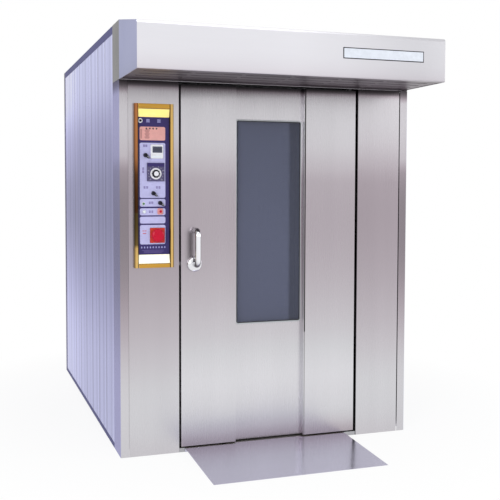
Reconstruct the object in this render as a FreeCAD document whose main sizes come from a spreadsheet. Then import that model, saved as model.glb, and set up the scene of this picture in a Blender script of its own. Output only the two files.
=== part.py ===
"""Rotating rack oven: a parametric model in millimetres.

+X is to the right of the front, +Y runs to the back and +Z is up.  The origin is on the
underside of the base, on the axis that the baking rack turns about.
"""
import FreeCAD, Part
import math
import os
import Sketcher
from FreeCAD import Placement, Rotation, Vector

# Driving dimensions.  Each one becomes a named cell of the spreadsheet.
DRIVING = {
    # casing
    "body_width": 1684, "body_depth": 2320, "body_height": 2300, "axis_to_front": 780,
    "skin": 3, "sheet": 2, "floor_thick": 22, "portal_depth": 190, "corner_width": 45,
    "back_post": 60, "rail_height": 42, "base_rail": 25, "seam": 1, "right_seam": 6,
    "side_panels": 8,
    "pan_depth": 22, "head_bottom": 1994,
    # canopy, with its underside grille
    "canopy_reach": 460, "canopy_right": 810, "canopy_front_top": 2220, "canopy_round": 18,
    "grille_rows": 4, "grille_slots": 6, "slot_width": 14,
    # doorway and door
    "door_half": 512, "gap_left": 12, "gap_right": 14, "door_bottom": 30, "door_top": 1984,
    "door_thick": 112, "recess_left": 205, "recess_right": 201, "recess_depth": 32,
    "window_left": 194, "window_right": 191, "window_bottom": 680, "window_top": 1804,
    "window_round": 12, "glass": 6, "stop_gap": 18, "stop_depth": 60, "clear_left": 480, "clear_right": 430,
    "pivot_inset": 30, "pivot_back": 20, "pivot_pin": 12, "running_gap": 0.05,
    # handle and latch
    "boss_x": -439, "boss_z": 1022, "boss_radius": 42, "tube_radius": 16, "grip_reach": 78,
    "grip_length": 182, "bolt_size": 18, "bolt_reach": 8,
    # ramp
    "ramp_left": 492, "ramp_right": 450, "ramp_length": 550, "ramp_rise": 24, "ramp_sheet": 4,
    # control panel
    "panel_left": -768, "panel_right": -556, "panel_bottom": 1010, "panel_top": 1872,
    "bar_width": 23, "bar_proud": 24, "face_proud": 10, "wedge_height": 45,
    # baking chamber
    "chamber_half": 600, "ceiling": 1900, "duct_width": 107, "insulation": 110,
    "liner": 3, "plenum_depth": 780,
    # rack
    "rack_half_x": 380, "rack_half_y": 420, "tiers": 16, "tier_pitch": 104, "first_tier": 190,
    "upright": 30, "runner": 32, "rack_top": 1822, "wheel_radius": 45, "wheel_clear": 14,
    # drive
    "shaft_radius": 20, "sprocket_teeth": 24, "pinion_teeth": 12, "chain_pitch": 19.05,
    "drive_x": -240, "drive_y": 120, "deck_top": 2053,
    # flue
    "flue_x": 380, "flue_y": 330, "flue_radius": 75, "flue_clear": 78, "flue_bead": 83,
    "spigot_length": 90,
}

document = FreeCAD.newDocument("rack_oven")
sheet = document.addObject("Spreadsheet::Sheet", "sizes")
parts = []
corners = []


class Size:
    """A number together with the spreadsheet formula that it comes from."""

    def __init__(self, value, formula):
        self.value = float(value)
        self.formula = formula

    def join(self, other, sign, value):
        return Size(value, "(%s %s %s)" % (self.formula, sign, other.formula))

    def __add__(self, other):
        other = as_size(other)
        return self.join(other, "+", self.value + other.value)

    def __sub__(self, other):
        other = as_size(other)
        return self.join(other, "-", self.value - other.value)

    def __mul__(self, other):
        other = as_size(other)
        return self.join(other, "*", self.value * other.value)

    def __truediv__(self, other):
        other = as_size(other)
        return self.join(other, "/", self.value / other.value)

    def __radd__(self, other):
        return as_size(other) + self

    def __rsub__(self, other):
        return as_size(other) - self

    def __rmul__(self, other):
        return as_size(other) * self

    def __neg__(self):
        return Size(-self.value, "(0 - %s)" % self.formula)


def as_size(number):
    """Return a plain number as a Size, and a Size as it is."""
    if isinstance(number, Size):
        return number
    return Size(number, "%.6g" % number if number >= 0 else "(0 - %.6g)" % -number)


def fill_sheet():
    """Write the driving dimensions to the spreadsheet and return them by name."""
    named = {}
    for row, (name, value) in enumerate(DRIVING.items(), start=1):
        sheet.set("A%d" % row, name)
        sheet.set("B%d" % row, str(value))
        sheet.setAlias("B%d" % row, name)
        named[name] = Size(value, "sizes." + name)
    document.recompute()
    return named


S = fill_sheet()

FRONT = -S["axis_to_front"]
BACK = S["body_depth"] + FRONT
HALF = S["body_width"] / 2
TOP = S["body_height"]
FLOOR = S["floor_thick"]
DOOR_BACK = FRONT + S["door_thick"]
STOP = DOOR_BACK + S["stop_gap"]
CHAMBER_FRONT = STOP + S["stop_depth"]
CHAMBER_BACK = S["chamber_half"]
PLENUM_BACK = CHAMBER_BACK + S["plenum_depth"]
PORTAL_BACK = FRONT + S["portal_depth"]
PIVOT_X = S["door_half"] - S["pivot_inset"]
PIVOT_Y = FRONT + S["pivot_back"]
JAMB_LEFT = -(S["door_half"] + S["gap_left"])
JAMB_RIGHT = S["door_half"] + S["gap_right"]


# ---------------------------------------------------------------- building blocks

def keep(label, thing):
    """Name a finished sub-part, whose label is its file name."""
    thing.Label = label
    parts.append(thing)
    return thing


def bind(thing, prop, size):
    """Bind one property to the formula of a Size."""
    thing.setExpression(prop, as_size(size).formula)


def place(thing, x, y, z, axis=None, degrees=0):
    """Bind a thing's position, and turn it about an axis by a fixed angle."""
    if axis is not None:
        thing.Placement = Placement(Vector(), Rotation(Vector(*axis), degrees))
    for letter, size in zip("xyz", (x, y, z)):
        bind(thing, ".Placement.Base." + letter, size)
    return thing


def box(name, x, y, z):
    """Make a box from a (low, high) pair along each axis."""
    block = document.addObject("Part::Box", name)
    for side, (low, high) in zip(("Length", "Width", "Height"), (x, y, z)):
        bind(block, side, as_size(high) - low)
    return place(block, x[0], y[0], z[0])


TURNS = {"X": ((0, 1, 0), 90), "Y": ((1, 0, 0), -90), "Z": ((0, 0, 1), 0)}


def cylinder(name, radius, length, start, along="Z"):
    """Make a cylinder that runs from start towards +X, +Y or +Z."""
    rod = document.addObject("Part::Cylinder", name)
    bind(rod, "Radius", radius)
    bind(rod, "Height", length)
    return place(rod, *start, *TURNS[along])


FINE, COARSE = 20, 12


def prism(name, sides, radius, length, start, along="Z"):
    """Make a many-sided bar, whose corners lie at radius, from start towards +X, +Y or +Z.

    It stands for a round form where a smooth one would cost too many facets.
    """
    bar = document.addObject("Part::Prism", name)
    bar.Polygon = sides
    bind(bar, "Circumradius", radius)
    bind(bar, "Height", length)
    return place(bar, *start, *TURNS[along])


def group(name, things):
    """Hold separate solids together without joining them."""
    held = document.addObject("Part::Compound", name)
    held.Links = things
    return held


def fuse(name, things):
    """Join solids into one."""
    joined = document.addObject("Part::MultiFuse", name)
    joined.Shapes = things
    joined.Refine = True
    return joined


def cut(name, base, tools):
    """Take one tool, or each of a list of tools, out of a base."""
    result = document.addObject("Part::Cut", name)
    result.Base = base
    result.Tool = tools if not isinstance(tools, list) else group(name + "_tools", tools)
    return result


def plane_of(body, role):
    """Find one of a body's own origin planes."""
    return [item for item in body.Origin.OriginFeatures if item.Role == role][0]


def new_sketch(body, name, role, offset=None):
    """Attach a sketch to an origin plane, moved along the plane's normal by offset."""
    sketch = body.newObject("Sketcher::SketchObject", name)
    sketch.AttachmentSupport = [(plane_of(body, role), "")]
    sketch.MapMode = "FlatFace"
    if offset is not None:
        bind(sketch, ".AttachmentOffset.Base.z", offset)
    return sketch


def pin_point(sketch, edge, end, point):
    """Bind the end of an edge to a place in the sketch."""
    for kind, size in zip(("DistanceX", "DistanceY"), point):
        size = as_size(size)
        number = sketch.addConstraint(Sketcher.Constraint(kind, -1, 1, edge, end, size.value))
        bind(sketch, "Constraints[%d]" % number, size)


def outline(sketch, points):
    """Draw a closed outline whose corners are pairs of Sizes."""
    corners = [Vector(as_size(x).value, as_size(y).value, 0) for x, y in points]
    count = len(corners)
    first = sketch.GeometryCount
    for index in range(count):
        sketch.addGeometry(Part.LineSegment(corners[index], corners[(index + 1) % count]), False)
    for index in range(count):
        following = first + (index + 1) % count
        sketch.addConstraint(Sketcher.Constraint("Coincident", first + index, 2, following, 1))
        pin_point(sketch, first + index, 1, points[index])


def circle(sketch, x, y, radius):
    """Draw a circle bound to its centre and radius."""
    radius = as_size(radius)
    centre = Vector(as_size(x).value, as_size(y).value, 0)
    edge = sketch.addGeometry(Part.Circle(centre, Vector(0, 0, 1), radius.value), False)
    pin_point(sketch, edge, 3, (x, y))
    number = sketch.addConstraint(Sketcher.Constraint("Radius", edge, radius.value))
    bind(sketch, "Constraints[%d]" % number, radius)


def padded(name, role, points, start, length):
    """Pad an outline on an origin plane, from start, along the plane's normal."""
    body = document.addObject("PartDesign::Body", name)
    sketch = new_sketch(body, name + "_outline", role, start)
    outline(sketch, points)
    pad = body.newObject("PartDesign::Pad", name + "_pad")
    pad.Profile = sketch
    bind(pad, "Length", length)
    return body


def pocket(body, name, role, points, start, depth):
    """Cut an outline out of a body, both ways from start."""
    sketch = new_sketch(body, name + "_outline", role, start)
    outline(sketch, points)
    hole = body.newObject("PartDesign::Pocket", name)
    hole.Profile = sketch
    hole.SideType = "Symmetric"
    bind(hole, "Length", as_size(depth) * 2)
    return hole


def round_edges(body, name, radius, chosen):
    """Fillet the edges of a body for which chosen(edge) is true."""
    document.recompute()
    base = body.Tip
    edges = ["Edge%d" % number for number, edge in enumerate(base.Shape.Edges, start=1)
             if chosen(edge)]
    fillet = body.newObject("PartDesign::Fillet", name)
    fillet.Base = (base, edges)
    bind(fillet, "Radius", radius)
    return fillet


def turned(name, points, x, y, z, along="Z"):
    """Turn an outline of (radius, height) corners about an axis through x, y, z."""
    body = document.addObject("PartDesign::Body", name)
    sketch = new_sketch(body, name + "_outline", "XZ_Plane")
    outline(sketch, points)
    spin = body.newObject("PartDesign::Revolution", name + "_turn")
    spin.Profile = sketch
    spin.ReferenceAxis = (sketch, ["V_Axis"])
    spin.Angle = 360
    return place(body, x, y, z, *TURNS[along])


def mirrored(x_pair, side):
    """Return a (low, high) pair of X on the right (side 1) or the left (side -1)."""
    low, high = x_pair
    return (as_size(low), as_size(high)) if side > 0 else (-as_size(high), -as_size(low))


SIDES = (("left", -1), ("right", 1))


# ---------------------------------------------------------------- casing

def base_and_ramp():
    """The base pan that everything stands on, the sill and the sloping ramp."""
    pan_half, pan_back = HALF - S["skin"], BACK - 8
    pan = padded("base_outline", "XY_Plane", [
        (JAMB_LEFT + 1, FRONT + 1), (JAMB_RIGHT - 1, FRONT + 1), (JAMB_RIGHT - 1, STOP + 1),
        (pan_half, STOP + 1), (pan_half, pan_back), (-pan_half, pan_back),
        (-pan_half, STOP + 1), (JAMB_LEFT + 1, STOP + 1),
    ], 0, FLOOR)
    skin = S["skin"]
    hollow = box("pan_hollow", (-pan_half + skin, pan_half - skin),
                 (STOP + 1 + skin, pan_back - skin), (skin, FLOOR - skin))
    keep("base_pan", cut("base_sheets", pan, hollow))
    slope = S["ramp_rise"] / S["ramp_length"]
    tail = FRONT - S["ramp_length"]
    sheet_thick = S["ramp_sheet"]
    ramp = padded("ramp_plate", "YZ_Plane", [
        (FRONT - 1, 0), (FRONT - 1, S["ramp_rise"]), (tail, 1.5), (tail, 0),
        (tail + sheet_thick / slope * 0.6, 0), (FRONT - 1 - sheet_thick, S["ramp_rise"] - 6),
        (FRONT - 1 - sheet_thick, 0),
    ], -S["ramp_left"], S["ramp_left"] + S["ramp_right"])
    keep("ramp", ramp)


def front_columns():
    """Folded front columns, a corner strip beside each, and the jambs behind them."""
    skin = S["skin"]
    top = S["head_bottom"]
    strips, posts = [], []
    for name, side in SIDES:
        inner = -JAMB_LEFT if side < 0 else JAMB_RIGHT
        outer = HALF - S["corner_width"] - (S["seam"] if side < 0 else S["right_seam"])
        low, high = mirrored((inner, outer), side)
        jamb, rim = (high, low) if side < 0 else (low, high)
        step = skin * -side
        column = padded(name + "_front_column", "XY_Plane", [
            (rim, FRONT), (jamb, FRONT), (jamb, STOP), (jamb - step, STOP),
            (jamb - step, FRONT + skin), (rim, FRONT + skin),
        ], 0, top)
        if side < 0:
            margin = S["bar_width"]
            pocket(column, "panel_opening", "XZ_Plane", [
                (S["panel_left"] + margin, S["panel_bottom"] + margin),
                (S["panel_right"] - margin, S["panel_bottom"] + margin),
                (S["panel_right"] - margin, S["panel_top"] - margin),
                (S["panel_left"] + margin, S["panel_top"] - margin),
            ], -FRONT, 2 * skin)
        keep(name + "_front_column", column)
        strip_in, strip_out = HALF - S["corner_width"], HALF
        strip = padded(name + "_corner_strip", "XY_Plane", [
            (strip_in * side, FRONT), (strip_out * side, FRONT),
            (strip_out * side, PORTAL_BACK), ((strip_out - skin) * side, PORTAL_BACK),
            ((strip_out - skin) * side, FRONT + skin), (strip_in * side, FRONT + skin),
        ], 0, top)
        strips.append(strip)
        clear = S["clear_left"] if side < 0 else S["clear_right"]
        posts.append(folded_post(side, clear, HALF - S["corner_width"], (FLOOR, top)))
    corners.extend(strips)
    lintel = box("lintel_bar", (-S["clear_left"], S["clear_right"]), (STOP, CHAMBER_FRONT),
                 (S["ceiling"] + 30, top))
    strike = box("strike", (JAMB_LEFT + 0.1, JAMB_LEFT + 2.5), (BOLT_Y - 30, BOLT_Y + 30),
                 (S["boss_z"] - 60, S["boss_z"] + 60))
    keep("door_frame", group("jambs_lintel_strike", posts + [lintel, strike]))


def folded_post(side, inner, outer, z):
    """A jamb post folded from sheet, open towards the insulation behind it."""
    skin = S["skin"]
    low, high = as_size(inner) * side, as_size(outer) * side
    return padded("jamb", "XY_Plane", [
        (low, CHAMBER_FRONT), (low, STOP), (high, STOP), (high, CHAMBER_FRONT),
        (high - skin * side, CHAMBER_FRONT), (high - skin * side, STOP + skin),
        (low + skin * side, STOP + skin), (low + skin * side, CHAMBER_FRONT),
    ], z[0], z[1] - z[0])


def portal_head():
    """The folded box section over the doorway, open to the roof behind, with closed ends."""
    skin, low = S["skin"], S["head_bottom"] + S["seam"]
    rear = S["deck_top"] + 4
    head = padded("head_outline", "YZ_Plane", [
        (FRONT, low), (FRONT, TOP), (PORTAL_BACK, TOP), (PORTAL_BACK, low),
    ], -HALF, HALF * 2)
    hollow = box("head_hollow", (-HALF + skin, HALF - skin), (FRONT + skin, PORTAL_BACK - skin),
                 (low + skin, TOP - skin))
    way = box("head_service_hole", (-HALF + 200, HALF - 200),
              (PORTAL_BACK - skin * 2, PORTAL_BACK + 5), (rear, TOP - 30))
    keep("portal_head", cut("head_folded", head, [hollow, way]))


def side_cladding():
    """Standing-seam side panels between a top and a bottom rail, and the rear posts."""
    span = BACK - S["back_post"] - PORTAL_BACK
    pitch = span / S["side_panels"]
    low, high = S["base_rail"], TOP - S["rail_height"]
    fold = S["pan_depth"]
    skin = S["skin"]
    posts, pans, rails = [], [], []
    for name, side in SIDES:
        for index in range(DRIVING["side_panels"]):
            start = PORTAL_BACK + pitch * index + S["seam"]
            stop = PORTAL_BACK + pitch * (index + 1)
            face, back, lip = (HALF - 1) * side, (HALF - 1 - skin) * side, (HALF - fold) * side
            pans.append(padded("%s_pan_%d" % (name, index), "XY_Plane", [
                (face, start + 2), (face, stop - 2), (back, stop), (lip, stop),
                (lip, stop - skin), (back, stop - skin), (back, start + skin),
                (lip, start + skin), (lip, start), (back, start),
            ], low + S["seam"], high - low - S["seam"] * 2))
        for place_name, z0, z1 in (("bottom", 0, low), ("top", high, TOP)):
            rail = padded("%s_%s_rail" % (name, place_name), "XZ_Plane", [
                (HALF * side, z0), (HALF * side, z1), ((HALF - fold) * side, z1),
                ((HALF - fold) * side, as_size(z1) - skin),
                ((HALF - skin) * side, as_size(z1) - skin), ((HALF - skin) * side, z0),
            ], -(BACK - S["back_post"]), span)
            rails.append(rail)
        post = padded(name + "_rear_post", "XY_Plane", [
            (HALF * side, BACK - S["back_post"] + 1), (HALF * side, BACK),
            ((HALF - S["back_post"]) * side, BACK),
            ((HALF - S["back_post"]) * side, BACK - skin),
            ((HALF - skin) * side, BACK - skin),
            ((HALF - skin) * side, BACK - S["back_post"] + 1),
        ], 0, TOP)
        posts.append(post)
    keep("side_panels", group("pans", pans))
    keep("side_rails", group("rails", rails))
    keep("corner_posts", group("corner_trims", corners + posts))


def louvres(x_low, x_high, z_low, count, gap, y):
    """Make boxes that cut a stack of louvre slots."""
    return [box("louvre_slot", (x_low, x_high), (y, as_size(y) + 12),
                (as_size(z_low) + gap * index, as_size(z_low) + gap * index + gap * 0.4))
            for index in range(count)]


def rear_and_roof():
    """Rear service panels, the roof deck, the inner floor of the roof and the insulation."""
    edge = HALF - S["back_post"] - S["seam"]
    middle = 1150
    face = (BACK - 6, BACK - 3)
    upper = box("upper_sheet", (-edge, edge), face, (middle + 1, TOP - 4))
    upper = cut("upper_vented", upper, louvres(-180, 180, 1950, 7, 30, BACK - 10))
    lower = box("lower_sheet", (-edge, edge), face, (6, middle - 1))
    lower = cut("lower_vented", lower, louvres(-180, 180, 150, 7, 30, BACK - 10))
    keep("rear_panels", group("rear_sheets", [upper, lower]))
    deck_half = HALF - S["pan_depth"] - 1
    deck = box("deck", (-deck_half, deck_half), (PORTAL_BACK + 1, BACK - 8),
               (S["deck_top"] - S["skin"], S["deck_top"]))
    openings = [
        prism("shaft_opening", COARSE, S["shaft_radius"] + 12, 40, (0, 0, S["deck_top"] - 20)),
        prism("flue_opening", FINE, S["flue_clear"], 40,
              (S["flue_x"], S["flue_y"], S["deck_top"] - 20)),
        prism("fan_opening", COARSE, 30, 40, (0, FAN_Y, S["deck_top"] - 20)),
    ]
    keep("roof_deck", cut("roof_sheet", deck, openings))
    wall = (S["chamber_half"] + S["duct_width"], S["chamber_half"] + S["duct_width"]
            + S["insulation"])
    slabs = [box("slab", mirrored(wall, side), (CHAMBER_FRONT + 1, PLENUM_BACK), (FLOOR, 2040))
             for _, side in SIDES]
    slabs.append(box("rear_slab", (-wall[1], wall[1]),
                     (PLENUM_BACK + 1, PLENUM_BACK + S["insulation"]), (FLOOR, 2040)))
    lid = box("lid_slab", (-wall[0] + 1, wall[0] - 1), (CHAMBER_FRONT + 1, PLENUM_BACK),
              (S["ceiling"] + 4, 2040))
    wells = [
        prism("shaft_well", 8, S["shaft_radius"] + 15, 200, (0, 0, S["ceiling"])),
        prism("flue_well", 8, S["flue_clear"] * 1.09, 200,
              (S["flue_x"], S["flue_y"], S["ceiling"])),
        prism("fan_well", 8, 33, 200, (0, FAN_Y, S["ceiling"])),
    ]
    keep("insulation", group("slabs", slabs + [cut("lid_with_wells", lid, wells)]))


FAN_Y = CHAMBER_BACK + S["plenum_depth"] * 0.45


def canopy():
    """The folded hood over the door, open below onto a slotted grille, with its side cheeks."""
    nose = FRONT - S["canopy_reach"]
    low = S["head_bottom"]
    body = padded("canopy_shell", "YZ_Plane", [
        (FRONT - 1, low), (FRONT - 1, TOP), (nose, S["canopy_front_top"]), (nose, low),
    ], -HALF, HALF + S["canopy_right"])

    def nose_edge(edge):
        box_of = edge.BoundBox
        return (box_of.XLength > 1000 and box_of.YMax < nose.value + 1)

    round_edges(body, "nose_rounds", S["canopy_round"], lambda edge: nose_edge(edge)
                and edge.BoundBox.ZMax > low.value + 10)
    round_edges(body, "lower_round", 6, lambda edge: nose_edge(edge)
                and edge.BoundBox.ZMax < low.value + 1)
    skin = S["skin"]
    sketch = new_sketch(body, "hollow_outline", "YZ_Plane", -HALF + skin)
    outline(sketch, [(FRONT - 1 - skin, low - 5), (FRONT - 1 - skin, TOP - skin * 2),
                     (nose + skin * 4, S["canopy_front_top"] - skin), (nose + skin * 4, low - 5)])
    hollow = body.newObject("PartDesign::Pocket", "hollow")
    hollow.Profile = sketch
    hollow.Reversed = True
    bind(hollow, "Length", HALF + S["canopy_right"] - skin * 2)
    keep("canopy_shell", body)
    grille = box("grille_sheet", (-HALF + skin + 1, S["canopy_right"] - skin - 1),
                 (nose + skin * 4 + 1, FRONT - 2 - skin), (low + 2, low + 4))
    pitch_y = S["canopy_reach"] / (S["grille_rows"] * 1.0 + 1)
    pitch_x = (HALF + S["canopy_right"] - 80) / S["grille_slots"]
    slots = []
    for row in range(DRIVING["grille_rows"]):
        for column in range(DRIVING["grille_slots"]):
            x = -HALF + 50 + pitch_x * column
            y = nose + pitch_y * (row + 1)
            slots.append(box("slot", (x, x + pitch_x - 20), (y, y + S["slot_width"]),
                             (low, low + 8)))
    keep("canopy_grille", cut("grille_slotted", grille, slots))


# ---------------------------------------------------------------- door

DOOR_Z = (S["door_bottom"], S["door_top"])
DOOR_TALL = S["door_top"] - S["door_bottom"]
RECESS = FRONT + S["recess_depth"]
BOLT_Y = FRONT + 55


def door_core():
    """The insulated filling of the leaf, with its recess, window, latch and pivot pockets."""
    sheet_thick = S["sheet"]
    half = S["door_half"] - sheet_thick
    core = padded("door_core", "XY_Plane", [
        (-half, FRONT + sheet_thick), (-S["recess_left"], FRONT + sheet_thick),
        (-S["recess_left"], RECESS + sheet_thick), (S["recess_right"], RECESS + sheet_thick),
        (S["recess_right"], FRONT + sheet_thick), (half, FRONT + sheet_thick),
        (half, DOOR_BACK - sheet_thick), (-half, DOOR_BACK - sheet_thick),
    ], S["door_bottom"], DOOR_TALL)
    pocket(core, "core_window", "XZ_Plane", window_points(14), -FRONT, 200)
    pocket(core, "latch_pocket", "YZ_Plane", [
        (BOLT_Y - 26, S["boss_z"] - 32), (BOLT_Y + 14, S["boss_z"] - 32),
        (BOLT_Y + 14, S["boss_z"] + 32), (BOLT_Y - 26, S["boss_z"] + 32),
    ], -S["door_half"], S["door_half"] + S["boss_x"] + 40)
    wide = 24
    for name, z in (("low_pivot_pocket", S["door_bottom"]), ("high_pivot_pocket", S["door_top"])):
        pocket(core, name, "XY_Plane", [
            (PIVOT_X - wide, FRONT), (PIVOT_X + wide, FRONT),
            (PIVOT_X + wide, PIVOT_Y + wide), (PIVOT_X - wide, PIVOT_Y + wide),
        ], z, 40)
    pocket(core, "spindle_pocket", "XZ_Plane", [
        (S["boss_x"] - 12, S["boss_z"] - 12), (S["boss_x"] + 12, S["boss_z"] - 12),
        (S["boss_x"] + 12, S["boss_z"] + 12), (S["boss_x"] - 12, S["boss_z"] + 12),
    ], -FRONT, 60)
    keep("door_core", core)


def window_points(grow):
    """The window's four corners in XZ, moved outwards by grow."""
    left, right = -S["window_left"] - grow, S["window_right"] + grow
    low, high = S["window_bottom"] - grow, S["window_top"] + grow
    return [(left, low), (right, low), (right, high), (left, high)]


def door_skins():
    """Folded outer skins each side of the recess, the recessed centre and the inner skin."""
    thick = S["sheet"]
    left = padded("door_left_skin", "XY_Plane", [
        (-S["door_half"], DOOR_BACK), (-S["door_half"], FRONT), (-S["recess_left"] + thick, FRONT),
        (-S["recess_left"] + thick, RECESS), (-S["recess_left"], RECESS),
        (-S["recess_left"], FRONT + thick), (-S["door_half"] + thick, FRONT + thick),
        (-S["door_half"] + thick, DOOR_BACK),
    ], S["door_bottom"], DOOR_TALL)
    pocket(left, "spindle_hole", "XZ_Plane", [
        (S["boss_x"] - 12, S["boss_z"] - 12), (S["boss_x"] + 12, S["boss_z"] - 12),
        (S["boss_x"] + 12, S["boss_z"] + 12), (S["boss_x"] - 12, S["boss_z"] + 12),
    ], -FRONT, 10)
    pocket(left, "bolt_hole", "YZ_Plane", [
        (BOLT_Y - 10, S["boss_z"] - 10), (BOLT_Y + 10, S["boss_z"] - 10),
        (BOLT_Y + 10, S["boss_z"] + 10), (BOLT_Y - 10, S["boss_z"] + 10),
    ], -S["door_half"], 10)
    right = padded("door_right_skin", "XY_Plane", [
        (S["recess_right"] - thick, RECESS), (S["recess_right"] - thick, FRONT),
        (S["door_half"], FRONT), (S["door_half"], DOOR_BACK),
        (S["door_half"] - thick, DOOR_BACK), (S["door_half"] - thick, FRONT + thick),
        (S["recess_right"], FRONT + thick), (S["recess_right"], RECESS),
    ], S["door_bottom"], DOOR_TALL)
    middle = box("centre_sheet", (-S["recess_left"], S["recess_right"]),
                 (RECESS, RECESS + thick), DOOR_Z)
    middle = cut("centre_open", middle, window_block("centre_hole", 0))
    keep("door_outer_skins", group("outer_skins", [left, middle, right]))
    inner = box("inner_sheet", (-S["door_half"] + thick, S["door_half"] - thick),
                (DOOR_BACK - thick, DOOR_BACK), DOOR_Z)
    keep("door_inner_skin", cut("inner_open", inner, window_block("inner_hole", 0)))


def window_block(name, grow):
    """A block as large as the window, for cutting it through a sheet."""
    (left, low), _, (right, high), _ = window_points(grow)
    return box(name, (left, right), (FRONT - 5, DOOR_BACK + 5), (low, high))


def ring(name, outer, inner, y0, y1, corner):
    """A rounded rectangular frame in XZ, between two window outlines."""
    body = padded(name, "XZ_Plane", window_points(outer), -as_size(y1), as_size(y1) - y0)
    if corner:
        round_edges(body, name + "_corners", corner,
                    lambda edge: edge.BoundBox.YLength > 0.9 * edge.Length)
    pocket(body, name + "_light", "XZ_Plane", window_points(inner), -as_size(y0), 200)
    return body


def door_window():
    """Two panes in a frame through the leaf."""
    thick = S["sheet"]
    keep("window_frame", ring("window_frame", 13.7, 0.3, RECESS + thick + 0.3,
                              DOOR_BACK - thick - 0.3, 6))
    panes = []
    for y in (RECESS + 0.5, DOOR_BACK - 7.5):
        (left, low), _, (right, high), _ = window_points(0)
        panes.append(box("pane", (left + 0.5, right - 0.5), (y, y + S["glass"]),
                         (low + 0.5, high - 0.5)))
    keep("window_panes", group("panes", panes))


def door_hardware():
    """Pivot pins on the casing, their bushes in the leaf, the gasket and the sweep."""
    pin, gap = S["pivot_pin"], S["running_gap"]
    pins, bushes = [], []
    for name, z0, z1, bush0 in (
            ("lower", FLOOR, S["door_bottom"] + 30, S["door_bottom"]),
            ("upper", S["door_top"] - 30, S["head_bottom"] + 1, S["door_top"] - 36)):
        pins.append(cylinder(name + "_pin", pin, as_size(z1) - z0, (PIVOT_X, PIVOT_Y, z0)))
        block = box("bush_block", (PIVOT_X - 18, PIVOT_X + 18), (PIVOT_Y - 17.5, PIVOT_Y + 18),
                    (bush0, bush0 + 36))
        bore = cylinder("bush_bore", pin + gap, 60, (PIVOT_X, PIVOT_Y, bush0 - 10))
        bushes.append(cut("bush", block, bore))
    keep("pivot_pins", group("pins", pins))
    keep("pivot_bushes", group("bushes", bushes))
    left, right, wide = -S["clear_left"] - 2, S["clear_right"] + 2, 14
    outer = box("seal_outer", (left - wide, right + wide), (DOOR_BACK + 1.3, STOP), (44, 1970))
    inner = box("seal_inner", (left, right), (DOOR_BACK, STOP + 1), (58, 1956))
    keep("door_seal", cut("seal_ring", outer, inner))


def handle():
    """A round boss and a bent tube grip that turn together on the spindle."""
    x, z, radius = S["boss_x"], S["boss_z"], S["boss_radius"]
    boss = [
        prism("boss_flange", FINE, radius, 10, (x, FRONT - 10.5, z), "Y"),
        prism("boss_crown", FINE, radius * 0.72, 20, (x, FRONT - 20.5, z), "Y"),
    ]
    grip = document.addObject("PartDesign::Body", "grip")
    path = new_sketch(grip, "grip_path", "YZ_Plane")
    bend, reach, length = 30, DRIVING["grip_reach"], DRIVING["grip_length"]
    stops = [Vector(-10, 0, 0)]
    for centre_y, first in ((bend, 270), (length - bend, 180)):
        for turn in range(0, 91, 45):
            angle = math.radians(first - turn)
            stops.append(Vector(bend - reach + bend * math.cos(angle),
                                centre_y + bend * math.sin(angle), 0))
    stops.append(Vector(-10, length, 0))
    for start, stop in zip(stops, stops[1:]):
        path.addGeometry(Part.LineSegment(start, stop), False)
    section = new_sketch(grip, "grip_section", "XZ_Plane", 10)
    sides = 12
    outline(section, [(S["tube_radius"] * math.cos(2 * math.pi * side / sides),
                       S["tube_radius"] * math.sin(2 * math.pi * side / sides))
                      for side in range(sides)])
    sweep = grip.newObject("PartDesign::AdditivePipe", "grip_tube")
    sweep.Profile = section
    sweep.Spine = path
    sweep.Transition = "Right corner"
    place(grip, x, FRONT, z)
    spindle = cylinder("spindle", 8, 52, (x, FRONT - 10, z), "Y")
    cam = prism("cam", COARSE, 20, 8, (x, BOLT_Y - 22, z), "Y")
    keep("handle", fuse("handle_whole", boss + [grip, spindle, cam]))


def latch():
    """The sliding bolt in the leaf's edge, which faces the strike plate on the jamb."""
    half = S["bolt_size"] / 2
    start = -S["door_half"] - S["bolt_reach"]
    keep("latch_bolt", box("bolt", (start, S["boss_x"] - 24), (BOLT_Y - half, BOLT_Y + half),
                           (S["boss_z"] - half, S["boss_z"] + half)))


# ---------------------------------------------------------------- baking chamber

def chamber():
    """Ceiling, slotted side air walls and the rear air wall with the fan's eye."""
    half, thick, high = S["chamber_half"], S["liner"], S["ceiling"]
    sheet_low = box("ceiling_sheet", (-half - 100, half + 100), (CHAMBER_FRONT + 1, PLENUM_BACK),
                    (high, high + thick))
    ceiling = cut("ceiling_open", sheet_low, [
        prism("hook_opening", COARSE, S["shaft_radius"] + 12, 40, (0, 0, high - 20)),
        prism("flue_mouth", FINE, S["flue_clear"], 40, (S["flue_x"], S["flue_y"], high - 20)),
        prism("fan_mouth", COARSE, 30, 40, (0, FAN_Y, high - 20)),
    ])
    walls = []
    for _, side in SIDES:
        wall = box("air_wall", mirrored((half, half + thick), side),
                   (CHAMBER_FRONT + 1, CHAMBER_BACK), (FLOOR, high))
        slots = [box("air_slot", mirrored((half - 5, half + 10), side),
                     (-300 + 300 * column, -300 + 300 * column + 18),
                     (140 + 430 * row, 140 + 430 * row + 360))
                 for column in range(3) for row in range(4)]
        walls.append(cut("air_wall_slotted", wall, slots))
    keep("side_air_walls", group("air_walls", walls))
    rear = box("rear_wall", (-half - thick, half + thick),
               (CHAMBER_BACK + 1, CHAMBER_BACK + 1 + thick), (FLOOR, high))
    eye = [box("return_slot", (-260, 260), (CHAMBER_BACK - 4, CHAMBER_BACK + 10),
               (1180 + 60 * row, 1180 + 60 * row + 30)) for row in range(10)]
    keep("chamber_liner", group("liner", [ceiling, cut("rear_wall_open", rear, eye)]))


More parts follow.
